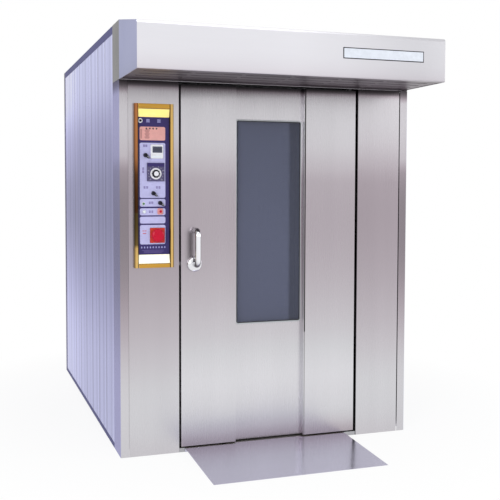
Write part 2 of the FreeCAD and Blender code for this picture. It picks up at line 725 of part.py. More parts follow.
def heating():
    """Hairpin heating elements on a header, and the steam cascade beside them."""
    y0 = CHAMBER_BACK + 90
    pins = []
    for index in range(6):
        x = -150 + 60 * index
        legs = [prism("leg", 6, 7, 700, (x, y0 + 90 * leg, 200)) for leg in range(2)]
        legs.append(prism("bend", 6, 7, 102, (x, y0 - 6, 894), "Y"))
        pins.append(fuse("hairpin", legs))
    header = box("header", (-190, 190), (y0 - 30, y0 + 120), (170, 199.5))
    keep("heating_elements", group("heaters", pins + [header]))
    shelves = [box("cascade_shelf", (320, 560), (y0, y0 + 200), (150 + 70 * row, 160 + 70 * row))
               for row in range(10)]
    back = box("cascade_back", (320, 560), (y0 + 200, y0 + 206), (150, 820))
    keep("steam_cascade", fuse("cascade", shelves + [back]))


def fan_motor():
    """The circulation fan: a backward-curved wheel on a vertical shaft under its motor."""
    blades = []
    hub_z, height, count = 1560, 120, 8
    for index in range(count):
        body = document.addObject("PartDesign::Body", "blade")
        sketch = new_sketch(body, "blade_outline", "XY_Plane")
        blade_outline(sketch, 90, 235, 4, math.radians(38))
        pad = body.newObject("PartDesign::Pad", "blade_pad")
        pad.Profile = sketch
        pad.Length = height
        body.Placement = Placement(Vector(0, FAN_Y.value, hub_z),
                                   Rotation(Vector(0, 0, 1), 360 / count * index))
        blades.append(body)
    lower = prism("wheel_disc", FINE, 240, 4, (0, FAN_Y, hub_z + height))
    shroud = cut("wheel_shroud", prism("shroud_disc", FINE, 240, 3, (0, FAN_Y, hub_z - 3)),
                 prism("shroud_eye", FINE, 150, 10, (0, FAN_Y, hub_z - 6)))
    hub = prism("wheel_hub", COARSE, 40, 60, (0, FAN_Y, hub_z + height))
    spindle = cylinder("fan_spindle", 14, 385, (0, FAN_Y, hub_z + height + 60))
    keep("fan_wheel", fuse("wheel", blades + [lower, shroud, hub, spindle]))
    motor_z = S["deck_top"] + 45
    can = prism("motor_can", FINE, 85, 160, (0, FAN_Y, motor_z))
    cap = prism("motor_cap", FINE, 70, 26, (0, FAN_Y, motor_z + 160))
    bore = prism("motor_bore", 8, 16, 60, (0, FAN_Y, motor_z - 10))
    body = cut("motor_bored", fuse("motor", [can, cap]), bore)
    plate = box("motor_plate", (-110, 110), (FAN_Y - 110, FAN_Y + 110),
                (motor_z - 6, motor_z - 0.2))
    legs = [box("motor_leg", (x, x + 30), (FAN_Y + y, FAN_Y + y + 30),
                (S["deck_top"], motor_z - 6)) for x in (-110, 80) for y in (-110, 80)]
    hole = prism("plate_hole", 8, 40, 20, (0, FAN_Y, motor_z - 12))
    mount = cut("mount_bored", fuse("mount", [plate] + legs), hole)
    keep("fan_motor", group("fan_motor_set", [body, mount]))


def blade_outline(sketch, inner, outer, thick, lean):
    """Draw a curved blade of even thickness that leans back by an angle from hub to rim."""
    def ends(offset):
        start = Vector(inner, offset, 0)
        stop = Vector(outer * math.cos(lean), -outer * math.sin(lean) + offset, 0)
        middle = (start + stop) * 0.5 + Vector(math.sin(lean / 2), math.cos(lean / 2), 0) * 24
        return start, middle, stop

    rim = list(ends(0)) + list(reversed(ends(thick)))
    for start, stop in zip(rim, rim[1:] + rim[:1]):
        sketch.addGeometry(Part.LineSegment(start, stop), False)


# ---------------------------------------------------------------- rack

def rack():
    """A rack of four uprights with angle runners, a base and a top frame, and a hanger."""
    hx, hy, tube = S["rack_half_x"], S["rack_half_y"], S["upright"]
    low, high = 150, S["rack_top"]
    posts = [box("post", mirrored((hx - tube, hx), sx), mirrored((hy - tube, hy), sy),
                 (low + 30, high))
             for _, sx in SIDES for _, sy in SIDES]
    runners = []
    for tier in range(DRIVING["tiers"]):
        z = S["first_tier"] + S["tier_pitch"] * tier
        for _, side in SIDES:
            foot = (hy - tube - 0.2) * side
            lip = (hy - tube - S["runner"]) * side
            wall = (hy - tube - 2.2) * side
            runners.append(padded("runner", "YZ_Plane", [
                (foot, z), (foot, z + 22), (wall, z + 22), (wall, z + 2), (lip, z + 2), (lip, z),
            ], -hx + 1, (hx - 1) * 2))
    keep("rack_runners", group("runners", runners))
    base = [box("base_side", (-hx, hx), mirrored((hy - tube, hy), side), (low, low + 30))
            for _, side in SIDES]
    base += [box("base_end", mirrored((hx - tube, hx), side), (-hy + tube, hy - tube),
                 (low, low + 30)) for _, side in SIDES]
    top = [box("top_end", mirrored((hx - tube, hx), side), (-hy, hy), (high, high + 25))
           for _, side in SIDES]
    top.append(box("top_bar", (-hx + tube, hx - tube), (-25, 25), (high, high + 25)))
    top += [box("top_side", (-hx + tube, hx - tube), mirrored((hy - tube, hy), side),
                (high, high + 25)) for _, side in SIDES]
    plates = [box("plate", mirrored((hx - 74, hx - 26), sx), mirrored((hy - 74, hy - 26), sy),
                  (low - 6, low)) for _, sx in SIDES for _, sy in SIDES]
    stem = prism("hanger_stem", COARSE, 14, 24, (0, 0, high + 25))
    head = fuse("hanger_head", [prism("head_rim", FINE, 34, 6, (0, 0, high + 46)),
                                prism("head_crown", FINE, 22, 14, (0, 0, high + 46))])
    keep("rack_frame", fuse("rack_welded", posts + base + top + plates + [stem, head]))


def casters():
    """Four swivel casters: a fork on a pin, and a wheel on its axle."""
    r = S["wheel_radius"]
    centre_z = r + FLOOR + S["wheel_clear"]
    trail = 28
    for name, sx, sy in (("front_left", -1, -1), ("front_right", 1, -1),
                         ("rear_left", -1, 1), ("rear_right", 1, 1)):
        x = (S["rack_half_x"] - 50) * sx
        y = (S["rack_half_y"] - 50) * sy
        crown = fuse("crown", [prism("crown_race", COARSE, 22, 4.7, (x, y, 137)),
                               cylinder("crown_pin", 8, 6.7, (x, y, 137))])
        bridge = box("bridge", (x - 20, x + 20), (y - 22, y + trail + 16), (131, 137))
        cheeks = [padded("cheek", "YZ_Plane", [
            (y - 22, 131), (y + trail + 16, 131), (y + trail + 12, centre_z - 12),
            (y + trail - 12, centre_z - 12),
        ], x + low, 3) for low in (-20, 17)]
        axle = prism("axle", 8, 5, 40, (x - 20, y + trail, centre_z), "X")
        keep("caster_fork_" + name, fuse("fork", [crown, bridge, axle] + cheeks))
        bore = cylinder("wheel_bore", 5 + S["running_gap"], 40, (x - 20, y + trail, centre_z),
                        "X")
        tyre = prism("tyre", FINE, r, 26, (x - 13, y + trail, centre_z), "X")
        wheel = cut("wheel_bored", tyre, bore)
        keep("caster_wheel_" + name, wheel)


# ---------------------------------------------------------------- rack drive and flue

def sprocket_profile(sketch, teeth, pitch):
    """Draw a sprocket's rim: each tooth has a flat tip, and each root a seat for the roller."""
    pitch_radius = pitch / (2 * math.sin(math.pi / teeth))
    roller, tip = pitch * 0.31, pitch_radius + pitch * 0.26
    root = pitch_radius - roller * 0.9
    step = 2 * math.pi / teeth

    def at(radius, angle):
        return Vector(radius * math.cos(angle), radius * math.sin(angle), 0)

    spread = roller / pitch_radius
    for index in range(teeth):
        angle = step * index
        corners_xy = [at(root, angle - spread * 0.5), at(root, angle + spread * 0.5),
                      at(tip, angle + step * 0.42), at(tip, angle + step * 0.58),
                      at(root, angle + step - spread * 0.5)]
        for start, stop in zip(corners_xy, corners_xy[1:]):
            sketch.addGeometry(Part.LineSegment(start, stop), False)
    return pitch_radius


def sprocket(label, teeth, x, y, z, bore):
    """A sprocket plate with a boss."""
    body = document.addObject("PartDesign::Body", label + "_plate")
    sketch = new_sketch(body, label + "_rim", "XY_Plane")
    sprocket_profile(sketch, teeth, DRIVING["chain_pitch"])
    pad = body.newObject("PartDesign::Pad", label + "_pad")
    pad.Profile = sketch
    pad.Length = 10
    place(body, x, y, z)
    boss = prism("boss", COARSE, as_size(bore) + 14, 26, (x, y, as_size(z) - 8))
    return fuse(label + "_solid", [body, boss])


def rack_drive():
    """Gear motor, chain and sprockets on the roof, and the shaft with its hook below."""
    r = S["shaft_radius"]
    z = S["deck_top"] + 70
    top = S["rack_top"] + 25
    shaft = cylinder("shaft", r, z + 30 - (top + 47), (0, 0, top + 47))
    yoke_low = top + 20
    plate = box("yoke_top", (-48, 48), (-22, 22), (top + 39, top + 48))
    claws = [box("claw", mirrored((38, 48), side), (-22, 22), (yoke_low - 8, top + 40))
             for _, side in SIDES]
    claws += [box("claw_lip", mirrored((17, 48), side), (-22, 22), (yoke_low - 10, yoke_low + 1))
              for _, side in SIDES]
    seat = box("bearing_foot", (-75, 75), (-45, 45), (S["deck_top"], S["deck_top"] + 12))
    shell = prism("bearing_shell", FINE, 40, 40, (0, 0, S["deck_top"] + 8))
    hole = cylinder("bearing_hole", r + S["running_gap"], 120, (0, 0, S["deck_top"] - 20))
    keep("shaft_bearing", cut("bearing_bored", fuse("bearing", [seat, shell]), hole))
    collar = prism("collar", FINE, 34, 10, (0, 0, S["deck_top"] + 48.5))
    keep("hook_shaft", fuse("shaft_with_hook", [shaft, collar, plate] + claws))
    wheel = sprocket("rack_wheel", DRIVING["sprocket_teeth"], 0, 0, z, r)
    keep("rack_sprocket", cut("rack_wheel_bored", wheel,
                              cylinder("sprocket_bore", r, 80, (0, 0, z - 30))))
    spindle = cylinder("pinion_spindle", 12, 80, (S["drive_x"], S["drive_y"], z - 60))
    wheel = sprocket("pinion_wheel", DRIVING["pinion_teeth"], S["drive_x"], S["drive_y"], z, 12)
    keep("motor_pinion", fuse("pinion_set", [wheel, spindle]))
    x, y = S["drive_x"], S["drive_y"]
    gearbox = box("gearbox", (x - 70, x + 60), (y - 60, y + 60),
                  (S["deck_top"], S["deck_top"] + 45))
    motor = prism("drive_can", FINE, 55, 210, (x - 280, y, S["deck_top"] + 56), "X")
    foot = box("drive_foot", (x - 260, x - 110), (y - 50, y + 50),
               (S["deck_top"], S["deck_top"] + 20))
    hole = prism("gearbox_bore", COARSE, 13, 90, (x, y, S["deck_top"] + 5))
    keep("gear_motor", cut("gear_motor_bored", fuse("gear_motor_solid", [gearbox, motor, foot]),
                           hole))
    chain(z)


def chain(z):
    """The roller chain as a closed band round both sprockets, tangent to each."""
    pitch = DRIVING["chain_pitch"]
    big = pitch / (2 * math.sin(math.pi / DRIVING["sprocket_teeth"]))
    small = pitch / (2 * math.sin(math.pi / DRIVING["pinion_teeth"]))
    centre = Vector(S["drive_x"].value, S["drive_y"].value, 0)
    span = centre.Length
    heading = math.atan2(centre.y, centre.x)
    lean = math.acos((big - small) / span)

    def around(middle, radius, start, stop, steps=10):
        turn = (stop - start) / steps
        reach = radius / math.cos(turn / 2)
        return [middle + Vector(reach * math.cos(start + turn * step),
                                reach * math.sin(start + turn * step), 0)
                for step in range(steps + 1)]

    def loop(grow):
        points = around(centre, small + grow, heading + lean, heading - lean)
        points += around(Vector(), big + grow, heading - lean, heading + lean - 2 * math.pi)
        return Part.makePolygon(points + points[:1])

    outer, inner = (Part.Face(loop(grow)).extrude(Vector(0, 0, 8)) for grow in (11, 5.6))
    band = outer.cut(inner)
    feature = document.addObject("Part::Feature", "chain_band")
    feature.Shape = band
    feature.Placement = Placement(Vector(0, 0, as_size(z).value + 1), Rotation())
    keep("drive_chain", feature)


def flue():
    """The flue through the roof, with a bead below its round spigot, and the damper inside."""
    x, y, radius = S["flue_x"], S["flue_y"], S["flue_radius"]
    low, high = S["ceiling"] + 4, TOP - 20
    seat = high - S["spigot_length"]
    outside = fuse("flue_outside", [
        prism("flue_wall", FINE, radius, seat - low, (x, y, low)),
        prism("flue_bead", FINE, S["flue_bead"], 8, (x, y, seat - 8)),
        cylinder("flue_spigot", radius, S["spigot_length"], (x, y, seat)),
    ])
    pipe = cut("flue_hollow", outside,
               cylinder("flue_inside", radius - 3, high - low + 20, (x, y, low - 10)))
    z = S["deck_top"] + 70
    cross = prism("damper_bore", 8, 5.8, 240, (x - 120, y, z), "X")
    keep("flue_pipe", cut("flue_bored", pipe, cross))
    disc = prism("damper_plate", FINE, radius - 5, 3, (x, y, z - 1.5))
    rod = cylinder("damper_rod", 5, 195, (x - 85, y, z), "X")
    lever = box("damper_lever", (x + 102, x + 110), (y - 8, y + 60), (z - 8, z + 8))
    keep("flue_damper", fuse("damper", [disc, rod, lever]))


# ---------------------------------------------------------------- control panel

PANEL_Y = FRONT - S["face_proud"]
KNOB_PLACES = {"steam_selector": (-707, 1603), "fan_selector": (-665, 1403),
               "lamp_selector": (-629, 1352)}
PANEL_LIMITS = (S["panel_left"] + S["bar_width"], S["panel_right"] - S["bar_width"])


def control_panel():
    """Gold side bars and end caps round a recessed label plate, with a box behind it."""
    low, high, bar = S["panel_bottom"], S["panel_top"], S["bar_width"]
    proud = FRONT - S["bar_proud"]
    bars, wedges = [], []
    for name, x0 in (("left", S["panel_left"]), ("right", S["panel_right"] - bar)):
        rail = padded("panel_%s_bar" % name, "XY_Plane", [
            (x0, FRONT - 0.3), (x0, proud + 6), (x0 + 5, proud), (x0 + bar - 5, proud),
            (x0 + bar - 0.3, proud + 6), (x0 + bar - 0.3, FRONT - 0.3),
        ], low, high - low)
        bars.append(rail)
    keep("panel_side_bars", group("side_bars", bars))
    width = PANEL_LIMITS[1] - PANEL_LIMITS[0]
    for name, base, slope in (("lower", low, 1), ("upper", high, -1)):
        wedge = padded("panel_%s_end" % name, "YZ_Plane", [
            (FRONT - 0.3, base), (proud + 2, base), (proud + 2, base + slope * 24),
            (PANEL_Y, base + slope * (S["wedge_height"] + 24)),
            (FRONT - 0.3, base + slope * (S["wedge_height"] + 24)),
        ], PANEL_LIMITS[0], width)
        wedges.append(wedge)
    keep("panel_end_lights", group("end_lights", wedges))
    end = S["wedge_height"] + 25
    plate = box("label_plate", PANEL_LIMITS, (PANEL_Y, FRONT - 0.3), (low + end, high - end))
    holes = [prism("knob_hole", 8, 5.8, 40, (x, PANEL_Y - 10, z), "Y")
             for x, z in KNOB_PLACES.values()]
    holes += [prism("dial_hole", 8, 5.8, 40, (-653, PANEL_Y - 10, 1506), "Y"),
              prism("button_hole", 8, 12.4, 40, (-628, PANEL_Y - 10, 1307), "Y"),
              prism("stop_hole", 8, 12.4, 40, (-644, PANEL_Y - 10, 1181), "Y")]
    keep("control_plate", cut("control_plate_bored", plate, holes))
    keep("control_box", box("control_enclosure", (S["panel_left"] + bar + 2,
                                                  S["panel_right"] - bar - 2),
                            (FRONT + 30, FRONT + 110), (low + bar + 2, high - bar - 2)))


def pointer(x, z):
    """A selector's tapered lever, which points down and to the right."""
    along, across = Vector(0.62, 0, -0.78), Vector(0.78, 0, 0.62)
    corners_xz = [along * 19 + across * 2, along * 19 - across * 2, across * -6.5,
                  along * -15 - across * 4, along * -15 + across * 4, across * 6.5]
    return padded("pointer", "XZ_Plane", [(x + p.x, z + p.z) for p in corners_xz],
                  -(PANEL_Y - 7), 15)


def controls():
    """Selector knobs, the temperature dial, the buttons, the timer and the pilot lamps."""
    for name, (x, z) in KNOB_PLACES.items():
        body = prism(name + "_skirt", FINE, 15, 7, (x, PANEL_Y - 7.5, z), "Y")
        lever = pointer(x, z)
        stem = cylinder("stem", 5, 36, (x, PANEL_Y - 8, z), "Y")
        keep(name, fuse(name + "_whole", [body, lever, stem]))
    bezel = box("dial_housing", (-699, -607), (PANEL_Y - 9, PANEL_Y - 0.2), (1467, 1563))
    bezel = cut("dial_bezel", bezel, prism("dial_bore", 8, 5.8, 40,
                                           (-653, PANEL_Y - 20, 1506), "Y"))
    keep("temperature_dial", fuse("dial_whole", [
        prism("dial_rim", FINE, 30, 4, (-653, PANEL_Y - 13.5, 1506), "Y"),
        prism("dial_grip", FINE, 15, 16, (-653, PANEL_Y - 25.5, 1506), "Y"),
        cylinder("dial_stem", 5, 36, (-653, PANEL_Y - 9.6, 1506), "Y")]))
    keep("start_button", fuse("button_whole", [
        prism("button_cap", FINE, 15, 8, (-628, PANEL_Y - 13, 1307), "Y"),
        prism("button_stem", 8, 11, 30, (-628, PANEL_Y - 6, 1307), "Y")]))
    keep("emergency_stop", fuse("stop_whole", [
        prism("stop_head", FINE, 36, 13, (-644, PANEL_Y - 27, 1181), "Y"),
        prism("stop_crown", FINE, 26, 10, (-644, PANEL_Y - 32, 1181), "Y"),
        prism("stop_stem", 8, 11, 44, (-644, PANEL_Y - 14.5, 1181), "Y")]))
    pad = box("stop_pad", (-684, -604), (PANEL_Y - 4, PANEL_Y - 0.2), (1141, 1221))
    pad = cut("stop_pad_bored", pad, prism("pad_hole", 8, 12.4, 40,
                                           (-644, PANEL_Y - 20, 1181), "Y"))
    frame = box("timer_frame", (-679, -613), (PANEL_Y - 8, PANEL_Y - 0.2), (1586, 1659))
    screen = box("timer_window", (-669, -617), (PANEL_Y - 9, PANEL_Y - 6), (1613, 1651))
    keep("panel_instruments", group("instruments", [bezel, pad,
                                                    cut("timer_recessed", frame, screen)]))
    keep("pilot_lamps", group("lamps", [
        prism("lamp", 8, 8, 7, (x, PANEL_Y - 7.2, z), "Y")
        for x, z in ((-718, 1348), (-714, 1306), (-734, 1783))]))


def write_parts():
    """Check every object, then write each sub-part to its own file."""
    document.recompute()
    for item in document.Objects:
        if {"Invalid", "Error"} & set(item.State):
            raise RuntimeError("%s (%s) failed: %s" % (item.Name, item.Label, item.State))
    os.makedirs("parts", exist_ok=True)
    for part in parts:
        shape = part.Shape
        if shape.isNull() or not shape.isValid():
            raise RuntimeError(part.Label + " has no valid shape")
        shape.exportStep("parts/%s.step" % part.Label)


base_and_ramp()
front_columns()
portal_head()
side_cladding()
rear_and_roof()
canopy()
door_core()
door_skins()
door_window()
door_hardware()
handle()
latch()
chamber()
heating()
fan_motor()
rack()
casters()
rack_drive()
flue()
control_panel()
controls()
write_parts()
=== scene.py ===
"""Looks of the rotating rack oven: finishes, printed panel, trim, fasteners, floor and lights."""
import math

import bmesh
import bpy
import numpy as np
from mathutils import Matrix, Vector


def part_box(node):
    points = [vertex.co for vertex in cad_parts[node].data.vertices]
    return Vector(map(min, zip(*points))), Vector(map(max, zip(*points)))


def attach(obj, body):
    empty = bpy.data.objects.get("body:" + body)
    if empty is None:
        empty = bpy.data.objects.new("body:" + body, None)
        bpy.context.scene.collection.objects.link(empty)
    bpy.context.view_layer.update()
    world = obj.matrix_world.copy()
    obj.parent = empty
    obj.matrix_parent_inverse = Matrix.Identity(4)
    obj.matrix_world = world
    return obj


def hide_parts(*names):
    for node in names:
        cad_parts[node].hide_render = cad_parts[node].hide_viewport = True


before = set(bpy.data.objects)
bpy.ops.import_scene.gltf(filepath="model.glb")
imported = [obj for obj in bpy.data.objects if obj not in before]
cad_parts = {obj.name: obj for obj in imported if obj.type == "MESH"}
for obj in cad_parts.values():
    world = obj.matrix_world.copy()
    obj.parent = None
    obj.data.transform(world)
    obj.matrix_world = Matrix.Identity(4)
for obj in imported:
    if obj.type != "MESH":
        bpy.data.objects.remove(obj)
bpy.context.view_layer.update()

bl_info = {
    "name": "Rotating Rack Oven",
    "version": (1, 0, 0),
    "blender": (4, 5, 0),
    "location": "View3D > Sidebar > Oven",
    "description": "Dresses the rack oven with its finishes, panel print, trim and studio",
    "category": "Object",
}

FRONT_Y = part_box("left_front_column")[0].y
PANEL_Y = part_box("control_plate")[0].y
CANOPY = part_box("canopy_shell")
CASE_TOP = 2.3
PRINT_DEPTH = 0.0006
FORWARD = (0, -1, 0)
REARWARD = (0, 1, 0)


# ------------------------------------------------------------------ properties

def colour_property(name, description, default):
    """Return a colour property with a name, a description and a default."""
    return bpy.props.FloatVectorProperty(name=name, description=description, subtype="COLOR",
                                         size=3, min=0.0, max=1.0, default=default)


def length_property(name, description, default):
    """Return a length property in metres."""
    return bpy.props.FloatProperty(name=name, description=description, unit="LENGTH",
                                   min=0.0, default=default)


class OvenFinishes(bpy.types.PropertyGroup):
    """Colours of the oven's finishes."""

    steel: colour_property("Front steel", "Brushed sheet of the front and the door",
                           (0.60, 0.595, 0.62))
    side: colour_property("Side steel", "Brushed sheet of the side panels", (0.72, 0.74, 0.86))
    liner: colour_property("Liner steel", "Plain sheet inside the chamber", (0.42, 0.42, 0.44))
    glass: colour_property("Window tint", "Tint of the door's glass", (0.13, 0.145, 0.22))
    gold: colour_property("Gold trim", "Anodised bars beside the panel", (0.72, 0.47, 0.16))
    panel_blue: colour_property("Panel ground", "Printed ground of the control panel",
                                (0.035, 0.024, 0.125))
    lavender: colour_property("Panel blocks", "Printed blocks on the panel", (0.53, 0.52, 0.80))
    pink: colour_property("Legend block", "Printed legend block on the panel",
                          (0.80, 0.40, 0.36))
    red: colour_property("Stop red", "Stop button and its pad", (0.56, 0.004, 0.03))


class OvenTrim(bpy.types.PropertyGroup):
    """Sizes of the trim that the oven carries."""

    plate_width: length_property("Nameplate width", "Width of the bare plate on the canopy",
                                 0.463)
    plate_height: length_property("Nameplate height", "Height of the bare plate", 0.057)
    screw_radius: length_property("Screw head", "Radius of a sheet screw's head", 0.0045)
    block_radius: length_property("Block corner", "Corner radius of a printed block", 0.009)


# ------------------------------------------------------------------ mesh building

def own_object(name, mesh, body):
    """Put a finished mesh in the scene, riding on a body."""
    piece = bpy.data.objects.new(name, mesh)
    bpy.context.scene.collection.objects.link(piece)
    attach(piece, body)
    return piece


def new_piece(name, points, faces, body, material, smooth=True, welded=True):
    """Make a piece from an array of points and a list of faces, with doubled points merged and
    its faces turned outwards."""
    mesh = bpy.data.meshes.new(name)
    mesh.from_pydata(np.asarray(points, float).tolist(), [], faces)
    mesh.validate()
    mesh.materials.append(MATERIALS[material])
    if smooth:
        mesh.shade_smooth()
    else:
        mesh.shade_flat()
    if welded:
        work = bmesh.new()
        work.from_mesh(mesh)
        bmesh.ops.remove_doubles(work, verts=work.verts, dist=1e-6)
        bmesh.ops.recalc_face_normals(work, faces=work.faces)
        work.to_mesh(mesh)
        work.free()
    return own_object(name, mesh, body)


def grid_faces(rows, columns, closed_rows=False):
    """Return the quads of a grid of points whose last column joins the first: a point and its
    three neighbours. With closed_rows the last row joins the first too."""
    row = np.arange(rows if closed_rows else rows - 1)
    i, j = [part.ravel() for part in np.meshgrid(row, np.arange(columns), indexing="ij")]
    i2, j2 = (i + 1) % rows, (j + 1) % columns
    return np.stack([i * columns + j, i2 * columns + j, i2 * columns + j2,
                     i * columns + j2], axis=1).tolist()


def capped_faces(rows, columns):
    """Return a grid's quads and a face over its first and its last row."""
    last = (rows - 1) * columns
    return grid_faces(rows, columns) + [list(range(columns)), list(range(last, last + columns))]


def turned_points(profile, sides):
    """Turn (radius, height) pairs about Z: a point is radius times the cosine and sine of its
    angle, at its height."""
    profile = np.asarray(profile, float)
    angle = np.linspace(0, 2 * math.pi, sides, endpoint=False)
    radius, height = profile[:, 0][:, None], profile[:, 1][:, None]
    return np.stack([radius * np.cos(angle), radius * np.sin(angle),
                     height + 0 * angle], axis=2).reshape(-1, 3)


def aimed(points, towards):
    """Turn points so that their Z axis aims at a direction."""
    aim = Vector((0, 0, 1)).rotation_difference(Vector(towards)).to_matrix()
    return points @ np.array(aim).T


def rounded_profile(profile, radius):
    """Replace each inner corner of a profile by an arc: the points of a quadratic curve whose
    ends lie radius along the two edges and whose control point is the corner."""
    profile = [np.asarray(point, float) for point in profile]
    result = [profile[0]]
    for before, corner, after in zip(profile, profile[1:], profile[2:]):
        start, stop = [corner + edge * min(0.45, radius / (np.linalg.norm(edge) + 1e-9))
                       for edge in (before - corner, after - corner)]
        for t in np.linspace(0, 1, 4):
            result.append((1 - t) ** 2 * start + 2 * t * (1 - t) * corner + t ** 2 * stop)
    result.append(profile[-1])
    return np.array(result)


def turn_piece(name, profile, place, body, material, sides=40, rounding=0.0008,
               towards=FORWARD, flutes=(0, 0.0)):
    """Make a turned piece aimed at a direction. With flutes its radius swells and shrinks by a
    part, as a cosine of so many times its angle."""
    profile = rounded_profile(profile, rounding)
    points = turned_points(profile, sides)
    waves, part = flutes
    swell = 1 + part * np.cos(waves * np.arctan2(points[:, 1], points[:, 0]))
    points[:, :2] *= swell[:, None]
    return new_piece(name, aimed(points, towards) + np.array(place),
                     grid_faces(len(profile), sides), body, material)


def rounded_rectangle(width, height, radius):
    """Return the outline of a rectangle with round corners: a quarter circle at each corner,
    moved out to half the width and half the height less the radius."""
    steps = 6
    quarter = np.linspace(0, math.pi / 2, steps)
    turn = (quarter[None, :] + np.arange(4)[:, None] * math.pi / 2).ravel()
    sign_x = np.repeat([1, -1, -1, 1], steps)
    sign_y = np.repeat([1, 1, -1, -1], steps)
    return np.stack([sign_x * (width / 2 - radius) + radius * np.cos(turn),
                     sign_y * (height / 2 - radius) + radius * np.sin(turn)], axis=1)


def slab(name, outline, centre, face_y, thickness, bevel, body, material, turn=0.0):
    """Stand an outline on the front plane y = face_y, at (x, z), as a slab with a bevelled front:
    each layer is the outline drawn in towards its middle by its inset, at its own height, and
    turned by an angle."""
    middle = outline.mean(axis=0)
    reach = np.abs(outline - middle).max(axis=0)
    layers = ((0.0, 0.0), (0.0, thickness - bevel), (bevel * 0.3, thickness - bevel * 0.3),
              (bevel, thickness))
    twist = np.array([[math.cos(turn), math.sin(turn)], [-math.sin(turn), math.cos(turn)]])
    rows = []
    for inset, height in layers:
        flat = (middle + (outline - middle) * (1 - inset / reach)) @ twist
        rows.append(np.column_stack([flat[:, 0] + centre[0],
                                     np.full(len(flat), face_y - height),
                                     flat[:, 1] + centre[1]]))
    return new_piece(name, np.concatenate(rows), capped_faces(len(layers), len(outline)), body,
                     material, smooth=False)


def front_slab(name, centre, width, height, radius, thickness, material, bevel=0.0006,
               face_y=PANEL_Y, body="oven"):
    """Make a thin rounded plate that lies on a front face."""
    return slab(name, rounded_rectangle(width, height, radius), centre, face_y, thickness,
                min(bevel, thickness * 0.5), body, material)


def tube_along(points, radius, sides):
    """Carry a circle along a path: each ring lies in the plane across the path's direction,
    on two axes carried from ring to ring without twist."""
    tangent = np.gradient(points, axis=0)
    tangent /= np.linalg.norm(tangent, axis=1)[:, None]
    side = np.cross(tangent, [1.0, 0.0, 0.0])
    side /= np.linalg.norm(side, axis=1)[:, None]
    other = np.cross(tangent, side)
    angle = np.linspace(0, 2 * math.pi, sides, endpoint=False)
    ring = (side[:, None, :] * np.cos(angle)[None, :, None]
            + other[:, None, :] * np.sin(angle)[None, :, None])
    return (points[:, None, :] + ring * radius[:, None, None]).reshape(-1, 3)


def many_heads(name, places, towards, radius, body="oven"):
    """Make one piece of many screw heads: a domed disc with a cross recess at each place."""
    sides = 14
    profile = np.array([(0, 0.45), (0.55, 0.4), (0.92, 0.2), (1, 0), (0, 0)]) * radius
    one = turned_points(profile, sides)
    cross = np.abs(np.cos(2 * np.arctan2(one[:, 1], one[:, 0])))
    near = np.hypot(one[:, 0], one[:, 1]) < radius * 0.6
    one[:, 2] -= np.where(near & (one[:, 2] > 0), cross * radius * 0.22, 0)
    one = aimed(one, towards)
    faces = np.array(grid_faces(len(profile), sides))
    points = (np.asarray(places, float)[:, None, :] + one[None, :, :]).reshape(-1, 3)
    everything = faces[None, :, :] + (np.arange(len(places)) * len(one))[:, None, None]
    return new_piece(name, points, everything.reshape(-1, 4).tolist(), body,
                     "zinc_screws")


BOX_QUADS = np.array([(0, 1, 2, 3), (7, 6, 5, 4), (0, 4, 5, 1), (1, 5, 6, 2), (2, 6, 7, 3),
                      (3, 7, 4, 0)])


def many_boxes(name, corners, quads, material):
    """Make one piece of many six-sided blocks, from the eight corners of each."""
    faces = (quads[None] + (np.arange(len(corners)) * 8)[:, None, None]).reshape(-1, 4)
    return new_piece(name, corners.reshape(-1, 3), faces.tolist(), "oven", material,
                     smooth=False, welded=False)


# ------------------------------------------------------------------ shader nodes

def node(tree, kind, **settings):
    """Add a shader node and set its own settings."""
    item = tree.nodes.new("ShaderNode" + kind)
    for label, value in settings.items():
        setattr(item, label, value)
    return item


def feed(tree, socket, value):
    """Link a socket to an input, or set the input to a plain value."""
    if isinstance(value, bpy.types.NodeSocket):
        tree.links.new(value, socket)
    else:
        socket.default_value = value


def feed_all(tree, item, values):
    """Feed a node's inputs, named by the keys of a dictionary."""
    for label, value in values.items():
        feed(tree, item.inputs[label], value)


def math_node(tree, operation, first, second=0.0):
    """Add a Math node whose inputs are sockets or plain numbers."""
    item = node(tree, "Math", operation=operation)
    feed(tree, item.inputs[0], first)
    feed(tree, item.inputs[1], second)
    return item.outputs[0]


def times(tree, first, second):
    """Multiply two sockets or numbers."""
    return math_node(tree, "MULTIPLY", first, second)


def part_between(tree, value, low, high):
    """Return 0 where a value is low and 1 where it is high."""
    return math_node(tree, "DIVIDE", math_node(tree, "SUBTRACT", value, low), high - low)


def object_place(tree):
    """Return the socket of the object coordinates."""
    return node(tree, "TexCoord").outputs["Object"]


def object_axes(tree):
    """Return the sockets of the object coordinates, by axis."""
    split = node(tree, "SeparateXYZ")
    tree.links.new(object_place(tree), split.inputs[0])
    return split.outputs


def scaled_noise(tree, scale, detail, roughness=0.5):
    """Add a noise whose object coordinates are stretched by a vector."""
    stretch = node(tree, "VectorMath", operation="MULTIPLY")
    feed(tree, stretch.inputs[0], object_place(tree))
    feed(tree, stretch.inputs[1], scale)
    noise = node(tree, "TexNoise")
    feed_all(tree, noise, {"Scale": 1.0, "Detail": detail, "Roughness": roughness,
                           "Vector": stretch.outputs[0]})
    return noise.outputs["Fac"]


def swing(tree, noise, amount):
    """Return a noise's swing about its middle, times an amount."""
    return times(tree, math_node(tree, "SUBTRACT", noise, 0.5), amount)


